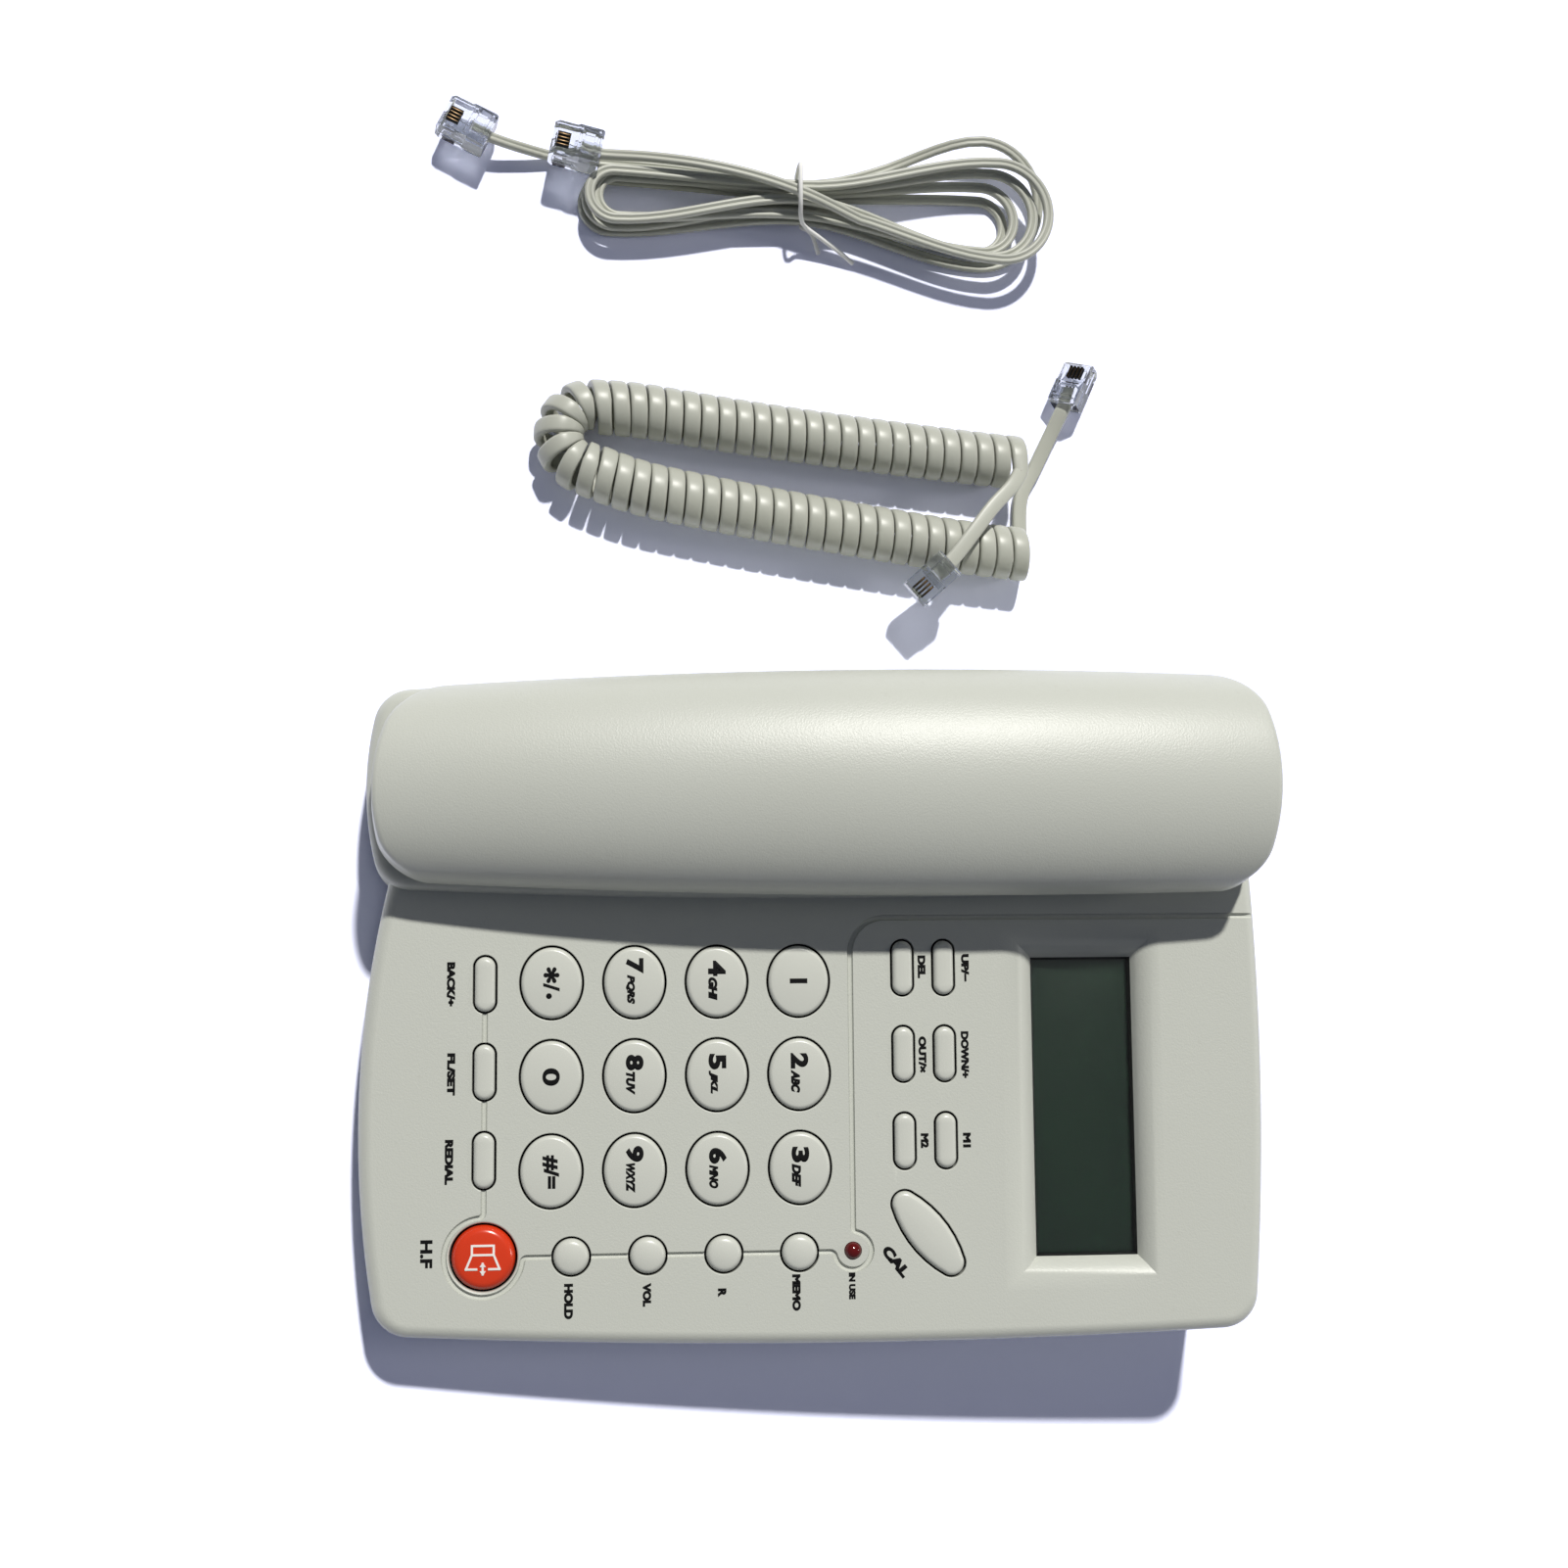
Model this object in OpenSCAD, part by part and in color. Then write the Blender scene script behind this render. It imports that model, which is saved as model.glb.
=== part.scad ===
// Corded desk telephone with a handset, a dial, a display and two loose cords.
// X runs to the phone's right, Y to its back and Z up. The origin is on the table
// under the middle of the phone. All sizes are in millimetres.

/* [Base] */
// How far the front edge of the keypad deck reaches forward
deck_front = 103.1; // [98:0.1:110]
// How far the back edge reaches back
base_back = 103.1; // [98:0.1:110]
// Half of the width of the base at its widest
base_half_w = 75.7; // [72:0.1:82]
// Radius of the curve of the deck's front edge
deck_front_r = 238; // [150:1:600]
// Radius of the curve of both long sides
base_side_r = 1880; // [900:10:4000]
// Radius of the curve of the back edge
base_back_r = 640; // [400:10:2000]
// Corner radius of the base seen from above
base_corner_r = 8.5; // [6:0.5:11]
// How far the front end of the cradle reaches forward
cradle_front = 102.2; // [98:0.1:108]
// Radius of the curve of the cradle's front end
cradle_front_r = 73.5; // [60:0.5:120]
// Height of the cradle's rim over the keypad deck
cradle_rise = 4.5; // [3.5:0.1:5.2]
// Height of the keypad deck above the table, in the middle of the base
face_z = 30; // [29:0.5:34]
// Slope of the keypad deck, rising to the back
face_slope = 6; // [4:0.5:7]
// Wall of both housings
wall = 2.2; // [1.8:0.1:2.6]
// Height of the seam between the two housings
seam_z = 10; // [9:0.5:11]
// Rounding of the upper edges of the base
edge_r = 3; // [2:0.25:4]
// Height of the rubber feet
foot_h = 2; // [1.5:0.25:3]
// Diameter of the rubber feet
foot_d = 12; // [8:0.5:14]
// Height of the tongue that lines up the two housings
tongue_h = 2.4; // [1.5:0.1:3]
// Thickness of that tongue
tongue_t = 1.2; // [0.8:0.1:1.4]

/* [Keys] */
// Spacing of the dial keys across the phone
dial_pitch_x = 21; // [20:0.1:22]
// Spacing of the dial keys along the deck
dial_pitch_y = 18.65; // [18:0.05:19.5]
// Size of a dial key across the phone
dial_w = 16; // [15:0.1:16.5]
// Size of a dial key along the deck
dial_l = 13.7; // [12:0.1:14]
// Height of the keys over the deck
key_proud = 1; // [0.6:0.1:1.6]
// How far a key goes down
key_travel = 1.2; // [0.6:0.1:1.4]
// Gap round each key in its hole
key_gap = 0.4; // [0.3:0.05:0.5]
// Width of the flange that holds a key under the deck
key_flange = 0.9; // [0.7:0.1:1.1]
// Thickness of that flange
flange_t = 1; // [0.8:0.1:1.2]
// Length of a pill-shaped key
pill_l = 12.3; // [10:0.1:13]
// Width of a pill-shaped key
pill_w = 4.6; // [3.6:0.1:5]
// Spacing of the pill-shaped keys across the phone
pill_pitch_x = 19.6; // [19:0.1:20.5]
// Spacing of the two rows of display keys
pill_pitch_y = 9.5; // [9:0.1:10]
// Diameter of the four round keys
round_d = 8; // [6:0.1:8.4]
// Spacing of the four round keys
round_pitch = 17.05; // [16.5:0.05:18]
// Diameter of the red hands-free key
hf_d = 14.2; // [12:0.1:15]
// Long axis of the oval directory key
oval_l = 22.6; // [18:0.1:23]
// Short axis of the oval directory key
oval_w = 9; // [7:0.1:9.6]
// Turn of the oval key, from the back towards the right
oval_turn = 51.5; // [40:0.5:60]
// Width of the grooves that link the keys
groove_w = 1.2; // [0.8:0.1:1.4]
// Depth of those grooves
groove_d = 0.5; // [0.3:0.05:0.8]
// Diameter of the in-use lamp
led_d = 3.9; // [3:0.1:4.2]

/* [Display] */
// Width of the window, across the phone
window_w = 68.2; // [60:0.1:70]
// Length of the window, along the deck
window_l = 23.6; // [18:0.1:25]
// Depth of the window under the deck
window_depth = 4; // [3:0.1:4.4]
// Slope width of the recess at its sides
bezel_side = 4; // [2.5:0.1:4.5]
// Slope width of the recess towards the back
bezel_back = 3.5; // [2.5:0.1:4.5]
// Slope width of the recess towards the front
bezel_front = 4.6; // [2.5:0.1:5]
// Thickness of the clear window
window_t = 1.5; // [1:0.1:1.6]
// Thickness of the display module
lcd_t = 2.9; // [2:0.1:3]

/* [Handset] */
// Half of the handset's width at its widest
hs_half_w = 25.6; // [24:0.1:26]
// How far the handset's sides stay inside those of the cradle
hs_setback = 0.2; // [0.1:0.1:0.5]
// Front end of the handset along the deck
hs_front_v = -100.9; // [-101.5:0.1:-98]
// Back end of the handset along the deck
hs_back_v = 103.2; // [98:0.1:104]
// Radius of the curve of the front end
hs_front_r = 42; // [38:1:80]
// Radius of the curve of the back end
hs_back_r = 75; // [50:1:120]
// Radius of the curve of the long sides seen from above
hs_side_r = 2140; // [1500:10:4000]
// Corner radius of the ends
hs_corner_r = 9; // [6:0.5:10]
// Height of the crest over the lip
hs_crest = 16; // [13:0.5:18]
// Lean of the end walls towards the middle at their top
hs_end_lean = 1.5; // [0.5:0.1:2.5]
// Radius of the bow of the lip seen from the side
hs_bow_r = 1150; // [900:10:2000]
// Height of the highest point of the lip over the deck
hs_lip_h = 13; // [12.5:0.1:15]
// Depth of the grip under the lip
grip_depth = 8.5; // [7:0.1:9.2]
// Setback of the lower shell from the lip
grip_inset = 3.5; // [3:0.1:4.5]
// Wall of the handset's shells
hs_wall = 2; // [1.6:0.1:2.4]
// Depth of the wells in the cradle under the deck
well_depth = 7.2; // [6:0.1:8]
// Clearance between the handset and the cradle, at the sides
cradle_gap = 0.5; // [0.4:0.05:0.8]
// Clearance between the handset and the cradle, underneath
seat_gap = 0.3; // [0.2:0.05:0.35]
// Travel of the hook plunger
hook_travel = 3.5; // [2:0.1:4]
// Diameter of the hook plunger
hook_d = 7; // [5:0.1:8]

/* [Jacks and power] */
// Width of the opening of the line jack
line_jack_w = 9.9; // [9.8:0.05:10.2]
// Width of the opening of a handset jack
cord_jack_w = 7.9; // [7.8:0.05:8.2]
// Height of the opening of both kinds of jack
jack_h = 6.9; // [6.7:0.05:7.2]
// Depth of the opening of both kinds of jack
jack_depth = 11; // [9:0.5:12]
// Wall of a jack's body
jack_wall = 1.3; // [1:0.1:1.6]
// Diameter of a battery cell
cell_d = 10.5; // [10:0.1:10.6]
// Length of a battery cell
cell_l = 44.5; // [43:0.1:45]
// Thickness of the battery door
door_t = 1.6; // [1.2:0.1:2]

/* [Sound] */
// Diameter of the loudspeaker
speaker_d = 36; // [28:1:40]
// Diameter of the receiver capsule in the handset
receiver_d = 26; // [20:1:27]
// Diameter of the microphone capsules
mic_d = 9.7; // [6:0.1:10]
// Diameter of the sound holes
sound_hole_d = 2; // [1.2:0.1:2.4]

/* [Fasteners] */
// Diameter of the housing screws
screw_d = 2.8; // [2.2:0.1:3]
// Head diameter of the screws
screw_head_d = 5.4; // [4.5:0.1:6]
// Outer diameter of the screw bosses
boss_d = 7; // [6:0.1:8]

/* [Cords] */
// Outer diameter of the curly cord
curl_d = 13.4; // [11:0.1:14]
// Width of the flat cord that is curled
ribbon_w = 3.7; // [2.8:0.1:3.8]
// Thickness of that flat cord
ribbon_t = 2.2; // [1.6:0.1:2.4]
// Distance from curl to curl
curl_pitch = 4.35; // [4.3:0.05:5]
// Width of the flat line cord
line_w = 2.6; // [2:0.1:2.8]
// Thickness of the flat line cord
line_t = 1.9; // [1.4:0.1:2]
// Number of loops in the hank of line cord
hank_loops = 5; // [3:1:6]

/* [Hidden] */
hs_x = hs_half_w + hs_setback - base_half_w;
cradle_right = hs_x + hs_half_w - hs_setback;
$fn = 48;

dial_names = [["key_1", "key_2", "key_3"], ["key_4", "key_5", "key_6"],
    ["key_7", "key_8", "key_9"], ["key_star", "key_0", "key_hash"]];

body_colour = [0.78, 0.78, 0.73];
key_colour = [0.82, 0.82, 0.77];
dark_colour = [0.16, 0.2, 0.18];
metal_colour = [0.75, 0.75, 0.77];
board_colour = [0.1, 0.4, 0.2];
black_colour = [0.12, 0.12, 0.12];
cord_colour = [0.76, 0.75, 0.68];
clear_colour = [0.85, 0.88, 0.9, 0.6];

// ---- Places on the deck: x across the phone, v along the slope, from the middle of the base ----
dial_x = 15.4;
dial_v = -4.95;
front_row_v = -75.8;
front_row_x = 14.2;
hf_x = 55;
round_x = 55.2;
round_v = -5.2;
led_v = 6.9;
display_key_x = 11.2;
display_key_v = 19;
oval_x = 51.5;
oval_v = 24.1;
window_x = 23.5;
window_v = 61.4;
groove_x = -19.9;
groove_v = 7;
groove_turn_r = 8;

// ---- Levels under the deck ----
board_h = -9.7;
board_t = 1.6;
mat_t = 1;
pad_clear = 0.2;
stem_gap = 0.3;
flange_h = -wall - stem_gap;
key_bottom = board_h + mat_t + pad_clear + key_travel + 1;
lens_lip = 0.8;
lens_h = -window_depth - lens_lip;
frame_wall = 2;
frame_h = lens_h - window_t - 1.2;
fit = 0.2;
floor_z = foot_h;
bed_h = 1;
slope_tan = tan(face_slope);

// ---- Outlines from four circles, with the corners rounded between them ----
function away(c, r, a) = c + r * [cos(a), sin(a)];
function aim(a, b) = atan2(b[1] - a[1], b[0] - a[0]);
function sweep_of(from, to) = ((to - from) % 360 + 360) % 360;
function meet(a, ra, b, rb) =
    let (d = norm(b - a), u = (b - a) / d, m = (ra * ra - rb * rb + d * d) / (2 * d))
    a + m * u + sqrt(ra * ra - m * m) * [-u[1], u[0]];

// sides: centre and radius of the front, right, back and left curve
function outline(sides, corner_r, inset) =
    let (
        r = max(corner_r - inset, 0.6),
        c = [for (s = sides) [s[0], s[1]]],
        big = [for (s = sides) s[2] - inset],
        corner = [for (i = [0:3])
            meet(c[i], big[i] - r, c[(i + 1) % 4], big[(i + 1) % 4] - r)]
    )
    [for (i = [0:3])
        let (
            before = corner[(i + 3) % 4],
            start = aim(c[i], before),
            stop = aim(c[i], corner[i]),
            next = aim(c[(i + 1) % 4], corner[i]),
            bend = sweep_of(stop, next),
            run = sweep_of(start, stop)
        )
        each concat(
            [for (k = [0:7]) away(c[i], big[i], start + run * k / 8)],
            [for (k = [0:5]) away(corner[i], r, stop + bend * k / 6)])];

deck_step = 0.3;
deck_sides = [[25, deck_front_r - deck_front, deck_front_r],
    [base_half_w - base_side_r, 20, base_side_r],
    [10, base_back - deck_step - base_back_r, base_back_r],
    [base_side_r - 42, 0, base_side_r]];
cradle_sides = [[-50, cradle_front_r - cradle_front, cradle_front_r],
    [cradle_right - base_side_r, 0, base_side_r],
    [10, base_back - base_back_r, base_back_r],
    [base_side_r - base_half_w, 20, base_side_r]];

module deck_shape(inset) polygon(outline(deck_sides, base_corner_r, inset));
module cradle_shape(inset) polygon(outline(cradle_sides, base_corner_r, inset));

// ---- The deck's own frame ----
module on_face() translate([0, 0, face_z]) rotate([face_slope, 0, 0]) children();

// Everything above a plane that is parallel to the deck
module over_face(h)
    on_face() translate([-100, -150, h]) cube([200, 300, 100]);

// A skin over rings that have the same number of points
module skin(rings) {
    n = len(rings[0]);
    last = len(rings) - 1;
    sides = [for (j = [0:last - 1], i = [0:n - 1])
        let (a = j * n + i, b = j * n + (i + 1) % n)
        each [[a, a + n, b], [b, a + n, b + n]]];
    ends = [for (i = [1:n - 2])
        each [[0, i, i + 1], [last * n, last * n + i + 1, last * n + i]]];
    polyhedron([for (r = rings) each r], concat(sides, ends));
}

edge_steps = [0, 30, 60, 90];

// A block with a rounded upper edge, whose top lies a given rise over the deck
module rounded_block(sides, rise)
    skin(concat(
        [[for (p = outline(sides, base_corner_r, 0)) [p[0], p[1], seam_z]]],
        [for (a = edge_steps) [for (p = outline(sides, base_corner_r, edge_r * (1 - cos(a))))
            [p[0], p[1], face_z + (rise - edge_r * (1 - sin(a))) / cos(face_slope)
                + p[1] * slope_tan]]]));

// ---- Handset geometry ----
hs_wide_v = 35;
bow_v = 22;
phi_steps = 16;
row_steps = 10;
end_arc_x = 1.9;

function bow(v) = hs_lip_h - hs_bow_r + sqrt(hs_bow_r * hs_bow_r - (v - bow_v) * (v - bow_v));
function hs_half(v, d) = hs_half_w - (v - hs_wide_v) * (v - hs_wide_v) / (2 * hs_side_r) - d;
function corner_drop(x, a, r) =
    abs(x) > a - r ? r - sqrt(max(0, r * r - (abs(x) - a + r) * (abs(x) - a + r))) : 0;
function crest(v) = hs_crest * hs_half(v, 0) / hs_half_w;
function hs_front(x, d) =
    hs_front_v + d + (x - end_arc_x) * (x - end_arc_x) / (2 * hs_front_r)
    + corner_drop(x, hs_half(hs_front_v, d), hs_corner_r - d);
function hs_back(x, d) =
    hs_back_v - d - x * x / (2 * hs_back_r)
    - corner_drop(x, hs_half(hs_back_v, d), hs_corner_r - d);
function hs_spot(phi, t, d, lean) =
    let (
        f = hs_front(hs_half(hs_front_v, d) * sin(phi), d) + lean,
        b = hs_back(hs_half(hs_back_v, d) * sin(phi), d) - lean,
        v = f + (b - f) * t
    )
    [hs_half(v, d) * sin(phi), v];
function hs_plan(d) = concat(
    [for (i = [0:phi_steps]) hs_spot(-90 + 180 * i / phi_steps, 0, d, 0)],
    [for (j = [1:row_steps - 1]) hs_spot(90, j / row_steps, d, 0)],
    [for (i = [0:phi_steps]) hs_spot(90 - 180 * i / phi_steps, 1, d, 0)],
    [for (j = [1:row_steps - 1]) hs_spot(-90, 1 - j / row_steps, d, 0)]);

module hs_shape(d) translate([hs_x, 0]) polygon(hs_plan(d));

// Space between two bowed surfaces, given as heights over the lip
module bowed(low, high)
    translate([hs_x - 60, bow_v, hs_lip_h - hs_bow_r]) rotate([0, 90, 0]) difference() {
        cylinder(r = hs_bow_r + high, h = 120, $fn = 360);
        translate([0, 0, -1]) cylinder(r = hs_bow_r + low, h = 122, $fn = 360);
        translate([0, -hs_bow_r * 1.5, -2]) cube([hs_bow_r * 2, hs_bow_r * 3, 124]);
    }

module hs_slab(low, high)
    intersection() {
        translate([0, 0, -30]) linear_extrude(60) children();
        bowed(low, high);
    }

// Rows of points from the front lip over the crest to the back lip
function shell_rows(d, top) = concat(
    [[for (i = [0:phi_steps]) let (p = hs_spot(-90 + 180 * i / phi_steps, 0, d, 0))
        [p[0] + hs_x, p[1], bow(p[1])]]],
    [for (j = [0:row_steps]) [for (i = [0:phi_steps])
        let (phi = -90 + 180 * i / phi_steps, p = hs_spot(phi, j / row_steps, d, hs_end_lean),
            full = crest(p[1]) - hs_crest + top)
        [p[0] + hs_x, p[1], bow(p[1]) + full * cos(phi)]]],
    [[for (i = [0:phi_steps]) let (p = hs_spot(-90 + 180 * i / phi_steps, 1, d, 0))
        [p[0] + hs_x, p[1], bow(p[1])]]]);

module shell_of_rows(outer, inner) {
    rows = len(outer);
    cols = len(outer[0]);
    skip = rows * cols;
    points = concat([for (r = outer) each r], [for (r = inner) each r]);
    rim = concat([for (i = [0:cols - 1]) i], [for (j = [1:rows - 1]) j * cols + cols - 1],
        [for (i = [cols - 2:-1:0]) (rows - 1) * cols + i], [for (j = [rows - 2:-1:1]) j * cols]);
    faces = concat(
        [for (j = [0:rows - 2], i = [0:cols - 2]) let (a = j * cols + i)
            each [[a, a + cols, a + 1], [a + 1, a + cols, a + cols + 1]]],
        [for (j = [0:rows - 2], i = [0:cols - 2]) let (a = skip + j * cols + i)
            each [[a, a + 1, a + cols], [a + 1, a + cols + 1, a + cols]]],
        [for (k = [0:len(rim) - 1]) let (a = rim[k], b = rim[(k + 1) % len(rim)])
            each [[a, b, skip + a], [b, skip + b, skip + a]]]);
    polyhedron(points, faces);
}

// ---- Shapes of the keys ----
oval_end = 0.64;
ellipse_points = 28;

// An oval of four arcs; its end arcs have the given share of half its length as radius
module oval_shape(w, l, share, grow) {
    a = w / 2;
    b = l / 2;
    small = b * share;
    big = (a * a + b * b - 2 * a * small) / (2 * (b - small));
    x = (big + grow) * (a - small) / (big - small);
    intersection() {
        translate([0, b - big]) circle(r = big + grow, $fn = 96);
        translate([0, big - b]) circle(r = big + grow, $fn = 96);
        translate([-x, -l]) square([2 * x, 2 * l]);
    }
    for (s = [-1, 1]) translate([s * (a - small), 0]) circle(r = small + grow);
}

module ellipse_shape(w, l, grow)
    polygon([for (i = [0:ellipse_points - 1]) let (a = 360 * (i + 0.5) / ellipse_points)
        [(w / 2 + grow) * cos(a), (l / 2 + grow) * sin(a)]]);

module pill_shape(grow) {
    w = pill_w + 2 * grow;
    l = pill_l + 2 * grow;
    translate([-(l - w) / 2, -w / 2]) square([l - w, w]);
    for (s = [-1, 1]) translate([s * (l - w) / 2, 0]) circle(d = w, $fn = 32);
}

module key_plan(kind, grow)
    if (kind == "dial") ellipse_shape(dial_w, dial_l, grow);
    else if (kind == "pill") pill_shape(grow);
    else if (kind == "round") circle(d = round_d + 2 * grow);
    else if (kind == "hf") circle(d = hf_d + 2 * grow);
    else rotate([0, 0, 90 - oval_turn]) oval_shape(oval_l, oval_w, oval_end, grow);

// Each key: name, shape, x and v on the deck
key_list = concat(
    [for (r = [0:3], c = [0:2])
        [dial_names[r][c], "dial", dial_x + (c - 1) * dial_pitch_x, dial_v - r * dial_pitch_y]],
    [for (c = [0:2])
        [["key_back", "key_set", "key_redial"][c], "pill", front_row_x + (c - 1) * pill_pitch_x,
            front_row_v]],
    [["key_handsfree", "hf", hf_x, front_row_v]],
    [for (r = [0:3])
        [["key_memory", "key_recall", "key_volume", "key_hold"][r], "round", round_x,
            round_v - r * round_pitch]],
    [for (r = [0:1], c = [0:2])
        [[["key_delete", "key_out", "key_store_2"], ["key_up", "key_down", "key_store_1"]][r][c],
            "pill", display_key_x + (c - 1) * pill_pitch_x, display_key_v + r * pill_pitch_y]],
    [["key_call", "oval", oval_x, oval_v]]);

dome_r = 60;

module key_solid(kind) {
    intersection() {
        translate([0, 0, flange_h - flange_t]) linear_extrude(key_proud - flange_h + flange_t)
            key_plan(kind, 0);
        translate([0, 0, key_proud - dome_r]) sphere(r = dome_r, $fn = 96);
    }
    translate([0, 0, flange_h - flange_t]) linear_extrude(flange_t) key_plan(kind, key_flange);
    translate([0, 0, key_bottom]) linear_extrude(flange_h - flange_t - key_bottom)
        key_plan(kind, -0.8);
}

module key_node(name)
    for (k = key_list) if (k[0] == name)
        color(k[1] == "hf" ? [0.82, 0.13, 0.04] : key_colour)
            on_face() translate([k[2], k[3], 0]) key_solid(k[1]);

// ---- Grooves in the deck ----
module groove_line(a, b) {
    d = b - a;
    translate(a) rotate([0, 0, aim(a, b)]) translate([0, -groove_w / 2, -groove_d])
        linear_extrude(groove_d + 1) square([norm(d), groove_w]);
}

module groove_ring(r, from, sweep)
    rotate([0, 0, from]) rotate_extrude(angle = sweep)
        translate([r - groove_w / 2, -groove_d]) square([groove_w, groove_d + 1]);

hf_ring_r = 8.7;
led_ring_r = 4.2;

module grooves() {
    hf_at = [hf_x, front_row_v];
    turn_at = [groove_x + groove_turn_r, groove_v + groove_turn_r];
    pill_half = pill_l / 2 + key_gap;
    round_half = round_d / 2 + key_gap;
    for (c = [-1, 0])
        groove_line([front_row_x + c * pill_pitch_x + pill_half, front_row_v],
            [front_row_x + (c + 1) * pill_pitch_x - pill_half, front_row_v]);
    groove_line([front_row_x + pill_pitch_x + pill_half, front_row_v],
        [hf_x - hf_ring_r, front_row_v]);
    translate(hf_at) groove_ring(hf_ring_r, -180, 270);
    groove_line([round_x, front_row_v + hf_ring_r],
        [round_x, round_v - 3 * round_pitch - round_half]);
    for (r = [0:2])
        groove_line([round_x, round_v - (r + 1) * round_pitch + round_half],
            [round_x, round_v - r * round_pitch - round_half]);
    groove_line([round_x, round_v + round_half], [round_x, led_v - led_ring_r]);
    translate([hf_x, led_v]) groove_ring(led_ring_r, -90, 270);
    groove_line([turn_at[0], groove_v], [hf_x - led_ring_r, groove_v]);
    translate(turn_at) groove_ring(groove_turn_r, 180, 90);
    groove_line([groove_x, turn_at[1]], [groove_x, base_back + 5]);
}

// ---- Display recess ----
module display_recess() {
    x0 = window_x - window_w / 2;
    x1 = window_x + window_w / 2;
    v0 = window_v - window_l / 2;
    v1 = window_v + window_l / 2;
    intersection() {
        translate([x0 - 10, 0, 0]) rotate([90, 0, 90]) linear_extrude(window_w + 20)
            polygon([[v0, -window_depth], [v1, -window_depth], [v1 + bezel_back, 0],
                [v1 + bezel_back, 1], [v0 - bezel_front, 1], [v0 - bezel_front, 0]]);
        translate([0, v1 + 10, 0]) rotate([90, 0, 0]) linear_extrude(window_l + 20)
            polygon([[x0, -window_depth], [x1, -window_depth], [x1 + bezel_side, 0],
                [x1 + bezel_side, 1], [x0 - bezel_side, 1], [x0 - bezel_side, 0]]);
    }
    translate([x0, v0, -window_depth - lens_lip - 1]) cube([window_w, window_l, lens_lip + 2]);
}

lens_grow = 1.5;

module window_block(grow, low, high)
    translate([window_x - window_w / 2 - grow, window_v - window_l / 2 - grow, low])
        cube([window_w + 2 * grow, window_l + 2 * grow, high - low]);

// ---- Screws, feet and jacks ----
screw_spots = [[64, -86], [-18.5, -86], [64, 88], [-18.5, 88], [-50, 0]];
screw_len = 11;
screw_head_h = 2;
foot_spots = [[64, -72], [-64, -72], [64, 74], [-64, 74]];
floor_t = wall;
head_z = floor_z + 1.2;

line_jack_x = 30;
line_jack_z = 18;
base_jack_y = 30;
base_jack_z = 18;
hs_jack_v = -82;
hs_jack_h = 0.2;

// A jack's body with its opening, facing -X, its mouth at the origin
module jack_body(open_w) {
    h = jack_h + 2 * jack_wall;
    w = open_w + 2 * jack_wall;
    difference() {
        translate([0, -w / 2, -h / 2]) cube([jack_depth + jack_wall, w, h]);
        translate([-1, -open_w / 2, -jack_h / 2]) cube([jack_depth + 1, open_w, jack_h]);
        translate([-1, -open_w / 6, -h / 2 - 1]) cube([jack_depth / 2, open_w / 3, jack_wall + 2]);
    }
}

module line_jack_place()
    translate([line_jack_x, base_back - 1.6, line_jack_z]) rotate([0, 0, -90]) children();
module base_jack_place() translate([-base_half_w + 1.2, base_jack_y, base_jack_z]) children();
module hs_jack_place()
    translate([hs_x - hs_half(hs_jack_v, grip_inset) + 1, hs_jack_v, hs_jack_h]) children();

module jack_hole(open_w) {
    clear = fit + jack_wall;
    translate([-12, -open_w / 2 - clear, -jack_h / 2 - clear])
        cube([24, open_w + 2 * clear, jack_h + 2 * clear]);
}

// ---- Wells and bed of the cradle ----
mic_well_v = -57;
ear_well_v = 55;

cradle_wall = 3.4;
well_sides = [[-50, cradle_front_r - cradle_front, cradle_front_r + 8],
    [cradle_right - base_side_r, 0, base_side_r + 8],
    [10, base_back - base_back_r, base_back_r],
    [base_side_r - base_half_w, 20, base_side_r + 1]];

// Outline of the handset's underside, and of what fits round it
module grip_shape(grow)
    intersection() {
        hs_shape(grip_inset - grow);
        polygon(outline(well_sides, base_corner_r, cradle_wall - grow));
    }

module mouth_end(grow)
    intersection() {
        grip_shape(grow);
        translate([hs_x - 50, hs_front_v - 10]) square([100, mic_well_v - hs_front_v + 10 + grow]);
    }

module ear_end(grow)
    intersection() {
        grip_shape(grow);
        translate([hs_x - 50, ear_well_v - grow]) square([100, hs_back_v - ear_well_v + 20]);
    }

module pocket() {
    translate([0, 0, bed_h]) linear_extrude(30) grip_shape(cradle_gap);
    translate([0, 0, -well_depth]) linear_extrude(20) mouth_end(cradle_gap);
    translate([0, 0, -well_depth]) linear_extrude(20) ear_end(cradle_gap);
}

module pocket_walls() {
    translate([0, 0, bed_h - wall]) linear_extrude(cradle_rise - bed_h + wall - 0.5)
        grip_shape(cradle_gap + 1.2);
    translate([0, 0, -well_depth - wall]) linear_extrude(well_depth + wall)
        mouth_end(cradle_gap + 1.2);
    translate([0, 0, -well_depth - wall]) linear_extrude(well_depth + wall)
        ear_end(cradle_gap + 1.2);
}

hook_at = [-50, 44];
cradle_notch_w = 10;
speaker_at = [18, -34];
hf_mic_x = 30;
hf_mic_d = 6;
hf_mic_l = 4;
hf_mic_z = seam_z + 4;
speaker_t = 3;
speaker_magnet_t = 3;
bay_at = [20, 44];
bay_w = 3 * cell_d + 3;
bay_l = cell_l + 5;
bay_top = 15;

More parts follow.
